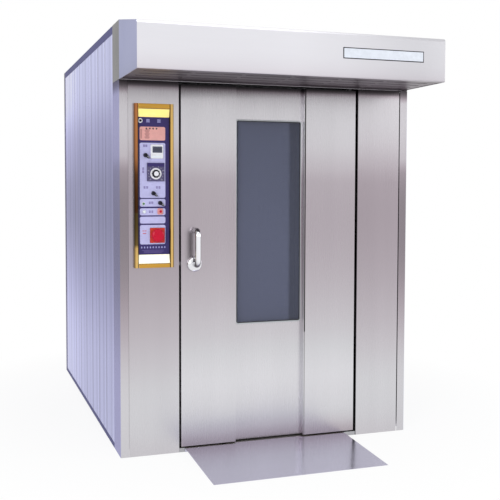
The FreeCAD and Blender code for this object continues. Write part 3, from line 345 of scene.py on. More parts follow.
def finish_group(name, scale_inputs, build):
    """Build a shader group that puts out a tone, a roughness and a normal. The build function
    returns the tone, the swing of the roughness, and the height and depth of its bump."""
    tree = bpy.data.node_groups.new(name, "ShaderNodeTree")
    for label, kind in scale_inputs + (("Roughness", "Float"), ("Depth", "Float")):
        tree.interface.new_socket(label, in_out="INPUT", socket_type="NodeSocket" + kind)
    for label, kind in (("Tone", "Float"), ("Roughness", "Float"), ("Normal", "Vector")):
        tree.interface.new_socket(label, in_out="OUTPUT", socket_type="NodeSocket" + kind)
    start, end = tree.nodes.new("NodeGroupInput"), tree.nodes.new("NodeGroupOutput")
    tone, rough, height, distance = build(tree, start.outputs)
    bump = node(tree, "Bump")
    feed_all(tree, bump, {"Distance": distance, "Strength": start.outputs["Depth"],
                          "Height": height})
    feed_all(tree, end, {"Tone": math_node(tree, "ADD", tone, 1.0), "Normal": bump.outputs[0],
                         "Roughness": math_node(tree, "ADD", rough, start.outputs["Roughness"])})


def brushed_grain(tree, given):
    """Fine streaks of a brushed sheet: noises stretched along the grain, and broad smears."""
    fine = scaled_noise(tree, given["Grain"], 3, 0.6)
    broad = scaled_noise(tree, given["Streak"], 2)
    smear = scaled_noise(tree, (2.3, 2.3, 1.7), 3)
    tone = math_node(tree, "ADD", swing(tree, broad, given["Streak Tone"]),
                     swing(tree, fine, 0.06))
    rough = math_node(tree, "ADD", swing(tree, fine, 0.16), swing(tree, smear, 0.14))
    return tone, rough, fine, 0.0004


def handled_wear(tree, given):
    """Rubbed and dusty places of paint and plastic: a coarse noise, and a fine grain."""
    coarse = scaled_noise(tree, given["Scale"], 4)
    grain = scaled_noise(tree, (2600, 2600, 2600), 2)
    return swing(tree, coarse, 0.22), swing(tree, coarse, 0.3), grain, 0.0003


RAMP_TOP = 1.3


def tone_ramp(tree, value, stops, spline=False):
    """Return a tone that follows a value from 0 to 1, from stops of (place, tone). A ramp's
    colours end at 1, so it holds the tones as parts of a higher one."""
    ramp = node(tree, "ValToRGB")
    if spline:
        ramp.color_ramp.interpolation = "B_SPLINE"
    while len(ramp.color_ramp.elements) < len(stops):
        ramp.color_ramp.elements.new(0.5)
    for element, (where, tone) in zip(ramp.color_ramp.elements, stops):
        element.position = where
        element.color = (*[tone / RAMP_TOP] * 3, 1)
    tree.links.new(value, ramp.inputs["Fac"])
    return times(tree, ramp.outputs["Color"], RAMP_TOP)


def place_ramp(tree, axis, far, stops):
    """Return a smooth tone that follows an object coordinate up to a far place."""
    part = math_node(tree, "DIVIDE", object_axes(tree)[axis], far)
    return tone_ramp(tree, part, [(where / far, tone) for where, tone in stops], spline=True)


def mixed_colour(tree, part, first, last):
    """Mix two colours, each a socket or four numbers, by a part from 0 to 1."""
    mix = node(tree, "Mix", data_type="RGBA")
    ends = [item for item in mix.inputs if item.type == "RGBA"]
    for socket, value in zip([mix.inputs["Factor"]] + ends, (part, first, last)):
        feed(tree, socket, value)
    return [item for item in mix.outputs if item.type == "RGBA"][0]


# ------------------------------------------------------------------ finishes

MATERIALS = {}


def new_material(name, constants):
    """Make a material with a Principled shader, whose constants are set on its own sockets."""
    material = bpy.data.materials.new(name)
    material.use_nodes = True
    tree = material.node_tree
    shader = tree.nodes["Principled BSDF"]
    feed_all(tree, shader, constants)
    MATERIALS[name] = material
    return material, tree, shader


def tinted(tree, shader, colour, tone):
    """Feed a colour times a tone to the shader's base colour."""
    mix = node(tree, "VectorMath", operation="SCALE")
    feed(tree, mix.inputs[0], colour)
    tree.links.new(tone, mix.inputs["Scale"])
    tree.links.new(mix.outputs[0], shader.inputs["Base Color"])


def grouped_material(name, group_name, values, constants):
    """Make a material whose roughness and normal come from a group, and return its tone."""
    _, tree, shader = new_material(name, constants)
    group = node(tree, "Group", node_tree=bpy.data.node_groups[group_name])
    feed_all(tree, group, values)
    feed_all(tree, shader, {"Roughness": group.outputs["Roughness"],
                            "Normal": group.outputs["Normal"]})
    return tree, shader, group.outputs["Tone"]


def brushed_metal(name, colour, grain, streak, tone, roughness, depth=0.05, bands=None,
                  shift=(1.13, 0.99, 1.05)):
    """A brushed sheet, with broad bands of painted reflection and shade that follow its height
    where they are given. Its colour shifts by three factors where a band is dark."""
    tree, shader, value = grouped_material(name, "brushed_grain", {
        "Grain": grain, "Streak": streak, "Streak Tone": tone, "Roughness": roughness,
        "Depth": depth}, {"Metallic": 1.0})
    if bands:
        # painted light: the tone follows the height through the given bands of reflection and
        # shade
        height = place_ramp(tree, "Z", CASE_TOP, bands)
        value = times(tree, value, height)
        light = node(tree, "MapRange")
        feed_all(tree, light, {"From Min": 0.55, "From Max": 1.05, "Value": height})
        dark = [part * factor for part, factor in zip(colour, shift)]
        colour = mixed_colour(tree, light.outputs[0], (*dark, 1), (*colour, 1))
    tinted(tree, shader, colour, value)


def handled(name, colour, roughness, depth=0.1, scale=60.0, constants=None):
    """A moulded, painted or cast surface, a little rubbed."""
    tree, shader, tone = grouped_material(name, "handled_surface", {
        "Scale": (scale,) * 3, "Roughness": roughness, "Depth": depth}, constants or {})
    tinted(tree, shader, colour, tone)


def colour_node(name):
    """Return a finish's tree and the node that scales its colour by its tone."""
    tree = MATERIALS[name].node_tree
    return tree, tree.nodes["Principled BSDF"].inputs["Base Color"].links[0].from_node


def shade(name, make_tone, *values):
    """Multiply a finish's tone by another, made from some values."""
    tree, scale = colour_node(name)
    before = scale.inputs["Scale"].links[0].from_socket
    tree.links.new(times(tree, before, make_tone(tree, *values)), scale.inputs["Scale"])


def recolour(name, make_part, colour):
    """Give another colour to a part of the surfaces that a finish covers."""
    tree, scale = colour_node(name)
    base = scale.inputs[0]
    before = base.links[0].from_socket if base.is_linked else (*base.default_value, 1)
    tree.links.new(mixed_colour(tree, make_part(tree), before, (*colour, 1)), base)


def side_panel_painted_light(tree):
    """Each side panel's tone from its front seam to its rear seam: dark seams, and between them
    stripes of painted reflection as a bent sheet would show; over the side, painted light that
    brightens to the rear."""
    low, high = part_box("side_panels")
    along = math_node(tree, "SUBTRACT", object_axes(tree)["Y"], low.y)
    reach, panels = high.y - low.y, 8
    part = math_node(tree, "FRACT", math_node(tree, "DIVIDE", along, reach / panels))
    # painted reflection: light and dark stripes across each panel, between its dark seams
    bend = tone_ramp(tree, part, ((0.0, 0.40), (0.04, 1.14), (0.30, 1.0), (0.38, 0.80),
                                  (0.45, 1.02), (0.78, 1.1), (0.84, 0.84), (0.90, 1.04),
                                  (1.0, 0.46)))
    # painted light: the side brightens towards the rear
    whole = tone_ramp(tree, math_node(tree, "DIVIDE", along, reach),
                      ((0.0, 0.92), (0.5, 0.98), (0.9, 1.24), (1.0, 1.28)))
    return times(tree, bend, whole)


def painted_edge_shade(tree, place, half, tone, above):
    """Tone of a narrow band of painted shade beside a seam or on a fold's inner wall, across X.
    """
    axes = object_axes(tree)
    off = math_node(tree, "ABSOLUTE", math_node(tree, "SUBTRACT", axes["X"], place))
    inside = math_node(tree, "LESS_THAN", off, half)
    high = math_node(tree, "GREATER_THAN", axes["Z"], above)
    return math_node(tree, "SUBTRACT", 1.0, times(tree, times(tree, inside, high), 1 - tone))


def door_top_tone(tree):
    """The canopy's shade on the door, which reaches lower at its left end than at its right."""
    axes = object_axes(tree)
    door_left, door_top, slope, reach = -0.512, 1.984, 0.050, 0.085
    right = times(tree, math_node(tree, "SUBTRACT", axes["X"], door_left), slope)
    depth = math_node(tree, "SUBTRACT", door_top, axes["Z"])
    below = math_node(tree, "DIVIDE", math_node(tree, "ADD", depth, right), reach)
    return tone_ramp(tree, below, ((0.0, 0.40), (0.5, 0.62), (1.0, 1.0)))


def fading_right(tree, low, high, tone):
    """Full tone up to low, and the given tone from high on, along X."""
    ramp = node(tree, "MapRange", interpolation_type="SMOOTHSTEP")
    feed_all(tree, ramp, {"From Min": low, "From Max": high, "To Min": 1.0, "To Max": tone,
                          "Value": object_axes(tree)["X"]})
    return ramp.outputs[0]


def bar_side(tree):
    """Return 1 on the panel's left bar and 0 on its right one."""
    low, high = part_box("panel_side_bars")
    return math_node(tree, "LESS_THAN", object_axes(tree)["X"], (low.x + high.x) / 2)


def frame_bar_tone(tree):
    """Tone of the panel's two bars: painted shadow on the chamfer inside, a bright face, a brown
    outer edge darkened by painted shade, and on the left bar a painted dark reflection with a
    brown-orange stretch above it."""
    low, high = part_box("panel_side_bars")
    middle, half, width = (low.x + high.x) / 2, (high.x - low.x) / 2, 0.028
    off = math_node(tree, "ABSOLUTE",
                    math_node(tree, "SUBTRACT", object_axes(tree)["X"], middle))
    # painted shade: near black on the inner chamfer, and darker towards the outer edge
    across = tone_ramp(tree, part_between(tree, off, half - width, half),
                       ((0.0, 0.05), (0.30, 0.07), (0.40, 0.95), (0.72, 1.0), (0.86, 0.62),
                        (1.0, 0.30)))
    # painted reflection: the left bar is near black from about 1.13 m to 1.5 m, and a little
    # darker above
    left_bar_reflection_tone = place_ramp(tree, "Z", CASE_TOP, ((1.0, 1.0), (1.118, 1.0), (1.128, 0.06),
                                              (1.50, 0.08), (1.59, 0.75), (1.87, 0.80)))
    dark = times(tree, bar_side(tree), math_node(tree, "SUBTRACT", 1.0, left_bar_reflection_tone))
    return times(tree, across, math_node(tree, "SUBTRACT", 1.0, dark))


def left_bar_upper_part(tree):
    """The left bar above 1.3 m, which is given a brown-orange colour."""
    upper = math_node(tree, "GREATER_THAN", object_axes(tree)["Z"], 1.3)
    return times(tree, bar_side(tree), upper)


def outer_part(tree):
    """The outer faces of the corner posts."""
    outside = math_node(tree, "ABSOLUTE", object_axes(tree)["X"])
    return math_node(tree, "GREATER_THAN", outside, abs(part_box("corner_posts")[0].x) - 0.0006)


def rear_outer_part(tree):
    """The outer faces of the rear posts."""
    rear = math_node(tree, "GREATER_THAN", object_axes(tree)["Y"], 0.0)
    return times(tree, outer_part(tree), rear)


def cheek_part(tree):
    """The canopy's left cheek, which continues the side."""
    return math_node(tree, "LESS_THAN", object_axes(tree)["X"], CANOPY[0].x + 0.0005)


def edge_tint(name, colour):
    """Tint a metal's reflection at grazing angles, which would otherwise be white."""
    shader = MATERIALS[name].node_tree.nodes["Principled BSDF"]
    shader.inputs["Specular Tint"].default_value = (*colour, 1)


# Painted light by height on the front steel: bands of painted reflection, with the canopy's
# painted shadow at their top.
DOOR_PAINTED_LIGHT = ((0.0, 0.56), (0.05, 0.68), (0.10, 0.94), (0.17, 1.10), (0.30, 1.15), (0.42, 1.18),
              (0.62, 0.96), (0.90, 0.76), (1.20, 0.64), (1.46, 0.67), (1.53, 0.76), (1.66, 0.98),
              (1.82, 1.0), (1.935, 0.98), (1.957, 0.72), (1.970, 0.12), (1.99, 0.05))
COLUMN_PAINTED_LIGHT = ((0.0, 0.94), (0.12, 1.04), (0.32, 1.08), (0.48, 0.94), (0.66, 0.80), (0.90, 0.66),
                (1.20, 0.54), (1.46, 0.54), (1.56, 0.68), (1.70, 0.92), (1.935, 1.0),
                (1.957, 0.72), (1.970, 0.12), (1.99, 0.05))
CORNER_PAINTED_LIGHT = ((0.0, 0.98), (0.35, 1.08), (0.62, 0.76), (0.95, 0.40), (1.30, 0.36),
                (1.52, 0.44), (1.60, 0.84), (1.92, 1.06), (1.955, 0.30), (1.99, 0.05))
# Painted light by height on the canopy, the sides and the rear: bands of painted reflection and
# shade.
CANOPY_PAINTED_LIGHT = ((1.99, 0.80), (2.02, 0.89), (2.07, 0.96), (2.12, 0.97),
                (CANOPY[1].z - 0.004, 0.99), (CANOPY[1].z - 0.001, 0.55))
SIDE_PAINTED_LIGHT = ((0.0, 0.95), (0.45, 0.88), (0.80, 0.58), (1.15, 0.34), (1.45, 0.36), (1.62, 0.52),
              (1.80, 0.60), (1.98, 0.98), (2.18, 1.06))
REAR_PAINTED_LIGHT = ((0.0, 0.82), (0.40, 1.0), (0.95, 0.78), (1.40, 0.74), (1.75, 0.96), (2.2, 1.04))
# Painted reflection on the chrome by depth: a bright front, and dark flanks that stand for the
# door mirrored in the tube.
GRIP_PAINTED_REFLECTION = ((-0.70, 0.8), (-0.782, 0.62), (-0.792, 1.0), (-0.806, 1.05), (-0.832, 0.30),
               (-0.856, 0.24), (-0.862, 0.42), (-0.868, 0.92), (-0.874, 1.16))
ACROSS = (5, 900, 900)
UPRIGHT = (900, 900, 5)
CAST = (300, 300, 300)
MATT = {"Specular IOR Level": 0.22}
GLOSSY_LENS = {"Coat Weight": 0.6}

# Name, colour or the setting that holds it, grain, streak, streak's tone, roughness and more.
BRUSHED = (
    ("door_steel", "steel", UPRIGHT, (9, 9, 0.2), 0.09, 0.28, 0.05, DOOR_PAINTED_LIGHT),
    ("column_steel", "steel", UPRIGHT, (9, 9, 0.2), 0.10, 0.28, 0.05, COLUMN_PAINTED_LIGHT),
    ("corner_steel", "steel", UPRIGHT, (20, 20, 0.2), 0.10, 0.24, 0.05, CORNER_PAINTED_LIGHT),
    ("canopy_steel", (0.775, 0.785, 0.82), ACROSS, (0.3, 8, 14), 0.05, 0.34, 0.05,
     CANOPY_PAINTED_LIGHT),
    # painted shade: the grille under the canopy is steel given a dark colour
    ("grille_steel", (0.15, 0.12, 0.145), ACROSS, (0.4, 60, 60), 0.7, 0.38),
    ("side_steel", "side", UPRIGHT, (13, 13, 0.1), 0.50, 0.30, 0.05, SIDE_PAINTED_LIGHT,
     (1.02, 0.99, 1.12)),
    ("rear_steel", (0.54, 0.55, 0.62), UPRIGHT, (9, 9, 0.2), 0.16, 0.30, 0.05, REAR_PAINTED_LIGHT),
    ("rail_steel", (0.22, 0.22, 0.34), ACROSS, (9, 0.3, 9), 0.3, 0.34),
    ("ramp_steel", (0.60, 0.585, 0.70), ACROSS, (0.4, 9, 9), 0.10, 0.20),
    ("liner_steel", "liner", UPRIGHT, (5, 5, 0.6), 0.14, 0.36),
    ("galvanised", (0.46, 0.48, 0.50), (55, 55, 55), (9, 9, 9), 0.22, 0.42, 0.08),
    ("chrome", (0.80, 0.80, 0.83), (400, 400, 400), (3, 3, 3), 0.02, 0.11, 0.004),
    ("gold_trim", "gold", UPRIGHT, (20, 20, 0.5), 0.18, 0.30),
    ("gold_strip", (0.60, 0.33, 0.06), ACROSS, (4, 60, 160), 0.5, 0.30),
    ("zinc_screws", (0.60, 0.60, 0.64), (900, 900, 900), (60, 60, 60), 0.2, 0.30),
    ("bronze", (0.45, 0.27, 0.10), CAST, (40, 40, 40), 0.2, 0.34),
    ("heater_sheath", (0.16, 0.13, 0.12), CAST, (30, 30, 30), 0.4, 0.45),
)

# Name, colour or the setting that holds it, roughness, and where given depth, scale, constants.
HANDLED = (
    ("black_plastic", (0.005, 0.004, 0.010), 0.36, 0.1, 60.0, MATT),
    ("charcoal_plastic", (0.075, 0.062, 0.15), 0.46),
    ("white_plastic", (0.84, 0.84, 0.86), 0.30),
    ("red_plastic", "red", 0.30, 0.1, 60.0, MATT),
    ("orange_plastic", (0.60, 0.045, 0.025), 0.36, 0.1, 60.0, {"Specular IOR Level": 0.25}),
    ("pink_plastic", (0.78, 0.33, 0.32), 0.36),
    ("panel_ground", "panel_blue", 0.40, 0.1, 60.0, {"Specular IOR Level": 0.3}),
    ("lavender_print", "lavender", 0.42),
    ("pink_print", "pink", 0.42),
    ("ink", (0.015, 0.012, 0.03), 0.5),
    ("violet_ink", (0.14, 0.10, 0.30), 0.5),
    ("brown_ink", (0.26, 0.10, 0.11), 0.5),
    ("pale_ink", (0.34, 0.33, 0.62), 0.5),
    ("bare_plate", (0.74, 0.78, 0.84), 0.34, 0.1, 60.0, {"Metallic": 0.3}),
    ("silicone", (0.016, 0.016, 0.018), 0.6),
    ("wheel_rubber", (0.02, 0.02, 0.022), 0.62),
    ("motor_paint", (0.035, 0.09, 0.20), 0.34, 0.2),
    ("dark_steel", (0.07, 0.07, 0.075), 0.40, 0.2, 60.0, {"Metallic": 0.8}),
    ("wool", (0.55, 0.50, 0.34), 0.95, 0.9, 300.0),
    ("lcd", (0.060, 0.065, 0.105), 0.20),
    ("green_lens", (0.05, 0.16, 0.07), 0.14, 0.0, 60.0, GLOSSY_LENS),
    ("clear_lens", (0.82, 0.88, 0.92), 0.12, 0.0, 60.0, GLOSSY_LENS),
)


def make_materials(finishes):
    """Build the shader groups and then every finish."""
    finish_group("brushed_grain", (("Grain", "Vector"), ("Streak", "Vector"),
                                   ("Streak Tone", "Float")), brushed_grain)
    finish_group("handled_surface", (("Scale", "Vector"),), handled_wear)
    for make, rows in ((brushed_metal, BRUSHED), (handled, HANDLED)):
        for name, colour, *more in rows:
            chosen = getattr(finishes, colour) if isinstance(colour, str) else colour
            make(name, tuple(chosen), *more)
    glass_material(tuple(finishes.glass))
    painted_glow_material()
    fold_x, seam_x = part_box("window_frame")[1].x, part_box("right_front_column")[0].x
    shade("door_steel", door_top_tone)
    # painted shade on the inner wall of the door's fold, and a fainter narrow line down the fold
    shade("door_steel", painted_edge_shade, fold_x, 0.0035, 0.12, 0.62)
    shade("door_steel", painted_edge_shade, fold_x, 0.0028, 0.50, 0.0)
    # painted shadow beside the seam of the right column
    shade("column_steel", painted_edge_shade, seam_x, 0.0035, 0.10, 0.0)
    # painted shade: the canopy's front darkens towards its right end
    shade("canopy_steel", fading_right, -0.1, 0.8, 0.74)
    # painted reflection stripes and painted light on the side panels
    shade("side_steel", side_panel_painted_light)
    # painted reflection on the chrome lever: bright at its front, dark on its flanks
    shade("chrome", place_ramp, "Y", -0.9, GRIP_PAINTED_REFLECTION)
    shade("gold_trim", frame_bar_tone)
    # painted reflection: the canopy's left cheek takes a darker bluish colour than its front
    recolour("canopy_steel", cheek_part, (0.27, 0.29, 0.50))
    # painted reflection: the corner posts' outer faces take the bluish colour the sides show
    recolour("corner_steel", outer_part, (0.60, 0.62, 0.84))
    # painted shadow: the rear posts' outer faces are near black
    recolour("corner_steel", rear_outer_part, (0.07, 0.07, 0.16))
    recolour("gold_trim", left_bar_upper_part, (0.58, 0.23, 0.085))
    edge_tint("side_steel", (0.65, 0.65, 0.84))
    edge_tint("corner_steel", (0.50, 0.48, 0.60))
    edge_tint("rail_steel", (0.35, 0.35, 0.50))


def glass_material(tint):
    """Tinted glass, seen through in part, with faint haze, and painted shade where the window's
    reveal stands
    behind it: broad at its right edge and narrow at its lower, left and upper edges."""
    material, tree, shader = new_material("window_glass", {"IOR": 1.45, "Roughness": 0.06,
                                                           "Alpha": 0.62})
    haze = math_node(tree, "ADD", times(tree, scaled_noise(tree, (1.2, 1.2, 0.7), 3), 0.4), 0.8)
    low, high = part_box("window_panes")
    axes = object_axes(tree)
    # painted shade of the reveal: darker bands along the pane's edges
    sides = tone_ramp(tree, part_between(tree, axes["X"], low.x, high.x),
                      ((0.0, 0.74), (0.03, 1.04), (0.80, 1.0), (0.84, 0.52), (0.97, 0.60),
                       (1.0, 0.46)))
    ends = tone_ramp(tree, part_between(tree, axes["Z"], low.z, high.z),
                     ((0.0, 0.66), (0.03, 0.92), (0.10, 1.0), (0.97, 1.02), (1.0, 0.72)))
    tinted(tree, shader, tint, times(tree, haze, times(tree, sides, ends)))
    material.surface_render_method = "DITHERED"


def painted_glow_material():
    """The panel's sloped end pieces, made to glow with painted light: warm yellow that pales
    downwards.
    """
    # painted light: the emission makes the sloped end pieces glow though they hold no lamp
    _, tree, shader = new_material("end_light", {"Roughness": 0.25, "Emission Strength": 0.35})
    cloud = times(tree, scaled_noise(tree, (30, 30, 30), 3), 0.25)
    height = math_node(tree, "SUBTRACT", object_axes(tree)["Z"], 1.0)
    ramp = node(tree, "ValToRGB")
    for element, where, colour in zip(ramp.color_ramp.elements, (0.30, 0.95),
                                      ((1.0, 0.96, 0.74, 1), (1.0, 0.80, 0.24, 1))):
        element.position, element.color = where, colour
    feed(tree, ramp.inputs["Fac"], math_node(tree, "ADD", height, cloud))
    feed_all(tree, shader, {"Base Color": ramp.outputs["Color"],
                            "Emission Color": ramp.outputs["Color"]})


NODE_FINISH = {
    "door_steel": "door_outer_skins window_frame",
    "column_steel": "left_front_column right_front_column portal_head",
    "corner_steel": "corner_posts",
    "canopy_steel": "canopy_shell",
    "grille_steel": "canopy_grille",
    "side_steel": "side_panels",
    "rear_steel": "rear_panels",
    "rail_steel": "side_rails",
    "ramp_steel": "ramp",
    "liner_steel": "base_pan door_frame chamber_liner side_air_walls door_inner_skin "
                   "steam_cascade rack_frame rack_runners hook_shaft",
    "galvanised": "roof_deck flue_pipe flue_damper control_box fan_wheel "
                  "caster_fork_front_left caster_fork_front_right caster_fork_rear_left "
                  "caster_fork_rear_right",
    "chrome": "handle latch_bolt",
    "wool": "insulation door_core",
    "window_glass": "window_panes",
    "silicone": "door_seal",
    "motor_paint": "fan_motor gear_motor",
    "dark_steel": "rack_sprocket motor_pinion drive_chain shaft_bearing pivot_pins",
    "heater_sheath": "heating_elements",
    "bronze": "pivot_bushes",
    "gold_trim": "panel_side_bars",
    "end_light": "panel_end_lights",
    "panel_ground": "control_plate",
    "black_plastic": "steam_selector fan_selector lamp_selector",
    "charcoal_plastic": "panel_instruments",
    "white_plastic": "temperature_dial",
    "red_plastic": "emergency_stop start_button",
    "clear_lens": "pilot_lamps",
    "wheel_rubber": "caster_wheel_front_left caster_wheel_front_right caster_wheel_rear_left "
                    "caster_wheel_rear_right",
}


def dress_nodes():
    """Give each of the model's own nodes its finish."""
    for material, names in NODE_FINISH.items():
        for name in names.split():
            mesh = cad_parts[name].data
            mesh.materials.clear()
            mesh.materials.append(MATERIALS[material])


# ------------------------------------------------------------------ pieces

def arc_path(centre, radius, start, stop):
    """Points of an arc in the YZ plane: the radius times cosine and sine of evenly spaced
    angles, about a centre (y, z)."""
    angle = np.radians(np.linspace(start, stop, 12))
    return np.stack([centre[0] + radius * np.cos(angle), centre[1] + radius * np.sin(angle)],
                    axis=1)


def handle_pieces():
    """The chrome lever: a domed boss and a bent tube with a rounded end, and its spindle."""
    low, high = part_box("handle")
    x = (low.x + high.x) / 2
    radius, bend, boss_z, sides = 0.016, 0.030, 1.022, 32
    out, top, door = low.y + radius, high.z - radius, FRONT_Y
    shaft = np.linspace(boss_z + bend + 0.01, top - bend - 0.01, 6)
    path = np.concatenate([
        [(door - 0.012, boss_z), (door - 0.030, boss_z)],
        arc_path((out + bend, boss_z + bend), bend, 270, 180),
        np.column_stack([np.full(6, out), shaft]),
        arc_path((out + bend, top - bend), bend, 180, 90),
        [(door - 0.030, top), (door - 0.012, top), (door - 0.0075, top)],
    ])
    points = np.column_stack([np.full(len(path), x), path])
    girth = np.full(len(points), radius)
    girth[-1] *= 0.78
    new_piece("lever_grip", tube_along(points, girth, sides), capped_faces(len(points), sides),
              "handle", "chrome")
    boss = turn_piece("lever_boss", [
        (0, 0.0), (0.042, 0.0), (0.042, 0.009), (0.036, 0.0165), (0.025, 0.0215), (0, 0.0235),
    ], (x, door - 0.0005, boss_z), "handle", "chrome", 72, 0.004)
    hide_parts("handle")
    turn_piece("lever_spindle", [(0, 0), (0.008, 0), (0.008, 0.035), (0.019, 0.035),
                                 (0.019, 0.043), (0, 0.043)],
               (x, door, boss_z), "handle", "dark_steel", towards=REARWARD)


def ring_piece(name, centre, width, height, radius, section, material):
    """Carry a closed section of (offset, y) corners round a rounded rectangle in XZ: each layer
    is the outline grown by the corner's offset, at the corner's y."""
    rows = []
    for grow, y in section:
        outline = rounded_rectangle(width + 2 * grow, height + 2 * grow,
                                    max(radius + grow, 0.0005))
        rows.append(np.column_stack([outline[:, 0] + centre[0], np.full(len(outline), y),
                                     outline[:, 1] + centre[1]]))
    faces = grid_faces(len(section), len(rows[0]), closed_rows=True)
    return new_piece(name, np.concatenate(rows), faces, "door", material, smooth=False)


def window_pieces():
    """The bright bead round the window, its dark seal and the same pair inside the door."""
    low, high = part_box("window_panes")
    centre = ((low.x + high.x) / 2, (low.z + high.z) / 2)
    width, height = high.x - low.x, high.z - low.z
    lap = 0.008
    for name, y, out in (("outer", low.y - 0.0005, -1), ("inner", high.y + 0.0055, 1)):
        ring_piece(name + "_window_seal", centre, width - lap, height - lap, 0.010,
                   [(0.0015, y - 0.0006 * out), (0.0015, y + 0.0012 * out),
                    (0.0, y + 0.0014 * out), (-0.0035, y + 0.0006 * out),
                    (-0.0035, y - 0.0006 * out)], "silicone")
        ring_piece(name + "_window_bead", centre, width, height, 0.013,
                   [(0.004, y), (0.0035, y + 0.0016 * out), (0.0, y + 0.0021 * out),
                    (-0.0025, y + 0.0014 * out), (-0.003, y)], "galvanised")


def nameplate_pieces(trim):
    """The bare plate on the canopy's front, on its thin dark surround."""
    centre, rim, face = (0.4495, 2.1195), 0.0045, CANOPY[0].y
    width, height = trim.plate_width, trim.plate_height
    front_slab("nameplate_surround", centre, width, height, 0.002, 0.0012,
               "black_plastic", 0.0003, face)
    front_slab("nameplate_bare", centre, width - 2 * rim, height - 2 * rim, 0.0015, 0.002,
               "bare_plate", 0.0004, face)


def block(name, x, z, material, trim):
    """A printed block on the panel, from its (low, high) pairs in X and Z."""
    return front_slab(name, ((x[0] + x[1]) / 2, (z[0] + z[1]) / 2), x[1] - x[0], z[1] - z[0],
                      trim.block_radius, PRINT_DEPTH, material, 0.0002)


def bars(name, places, height, material, face_y=PANEL_Y - PRINT_DEPTH):
    """One piece of many short printed bars, each given by x, z and its width."""
    places = np.asarray(places, float)
    depth, sunk = 0.0003, 0.0002
    corner = np.array([(-0.5, -0.5), (0.5, -0.5), (0.5, 0.5), (-0.5, 0.5)])
    x = places[:, 0, None] + corner[None, :, 0] * places[:, 2, None]
    z = places[:, 1, None] + corner[None, :, 1] * height
    front = np.stack([x, np.full_like(x, face_y - depth), z], axis=2)
    back = front + np.array([0, depth + sunk, 0])
    return many_boxes(name, np.concatenate([front, back], axis=1), BOX_QUADS,
                      material)


def digits(name, text, place, size, material):
    """Plain numbers, made a mesh that lies on the panel's front."""
    curve = bpy.data.curves.new(name, "FONT")
    curve.body, curve.size = text, size
    curve.align_x = curve.align_y = "CENTER"
    curve.extrude = 0.00015
    source = bpy.data.objects.new(name + "_text", curve)
    bpy.context.scene.collection.objects.link(source)
    mesh = bpy.data.meshes.new_from_object(source)
    bpy.data.objects.remove(source)
    mesh.transform(Matrix.Translation(place) @ Matrix.Rotation(math.pi / 2, 4, "X"))
    mesh.materials.clear()
    mesh.materials.append(MATERIALS[material])
    return own_object(name, mesh, "oven")


def panel_print(trim):
    """Printed blocks, marks, the dot row and the legend bars of the control panel."""
    span = (-0.737, -0.600)
    block("legend_block", span, (1.681, 1.752), "pink_print", trim)
    for name, z in (("timer_block", (1.379, 1.668)), ("lamp_row", (1.333, 1.373)),
                    ("start_row", (1.287, 1.324)), ("spare_row", (1.244, 1.280)),
                    ("stop_block", (1.134, 1.236))):
        block(name, span, z, "lavender_print", trim)
    for index in range(4):
        turn_piece("legend_dot_%d" % index, [(0, 0), (0.0045, 0), (0.0045, 0.0006), (0, 0.0006)],
                   (-0.701 + 0.018 * index, PANEL_Y - 0.0005, 1.7425), "oven",
                   "ink", 16, 0.0001)
    rows = np.arange(9)
    heights = 1.692 + rows * 0.0056
    bars("legend_bars", np.concatenate([
        np.column_stack([np.full(9, -0.729), heights, np.full(9, 0.009)]),
        np.column_stack([np.full(9, -0.697), heights, 0.022 + 0.006 * np.sin(rows * 2.1)])]),
         0.0026, "brown_ink")
    marks = [(-0.684, 1.353), (-0.671, 1.353), (-0.684, 1.306), (-0.671, 1.306),
             (-0.714, 1.652), (-0.702, 1.652), (-0.712, 1.434), (-0.698, 1.434),
             (-0.646, 1.434), (-0.632, 1.434), (-0.719, 1.532), (-0.719, 1.516)]
    bars("row_bars", [(x, z + step, 0.010) for x, z in marks for step in (-0.0045, 0.0, 0.0045)],
         0.0028, "violet_ink")
    bars("stop_bars", [(-0.719, 1.205, 0.011), (-0.706, 1.205, 0.009), (-0.713, 1.192, 0.018)],
         0.0035, "orange_plastic")
    bars("heading_bars", [(x, 1.783 + step, 0.018) for x in (-0.692, -0.634)
                          for step in (-0.006, 0.0, 0.006)], 0.0042, "pale_ink", PANEL_Y)
    bars("foot_marks", [(-0.728 + 0.0155 * index, 1.1175, 0.0065) for index in range(9)],
         0.009, "pale_ink", PANEL_Y)
    bars("foot_lines", [(-0.668 + 0.004 * (row % 2), 1.102 - 0.0062 * row, 0.116 - 0.01 * row)
                        for row in range(3)], 0.0020, "violet_ink", PANEL_Y)


def timer_pieces():
    """The timer's case, screen, keys and plain figures."""
    front_slab("timer_case", (-0.646, 1.6225), 0.0668, 0.0738, 0.004, 0.0086,
               "white_plastic", 0.0012)
    front_slab("timer_screen", (-0.6445, 1.6325), 0.052, 0.033, 0.002, 0.0092,
               "lcd", 0.0003)
    front_slab("timer_keys", (-0.6455, 1.5955), 0.050, 0.010, 0.002, 0.0092,
               "clear_lens", 0.0004)
    digits("timer_digits", "0000", (-0.6445, PANEL_Y - 0.0095, 1.6325), 0.019, "ink")


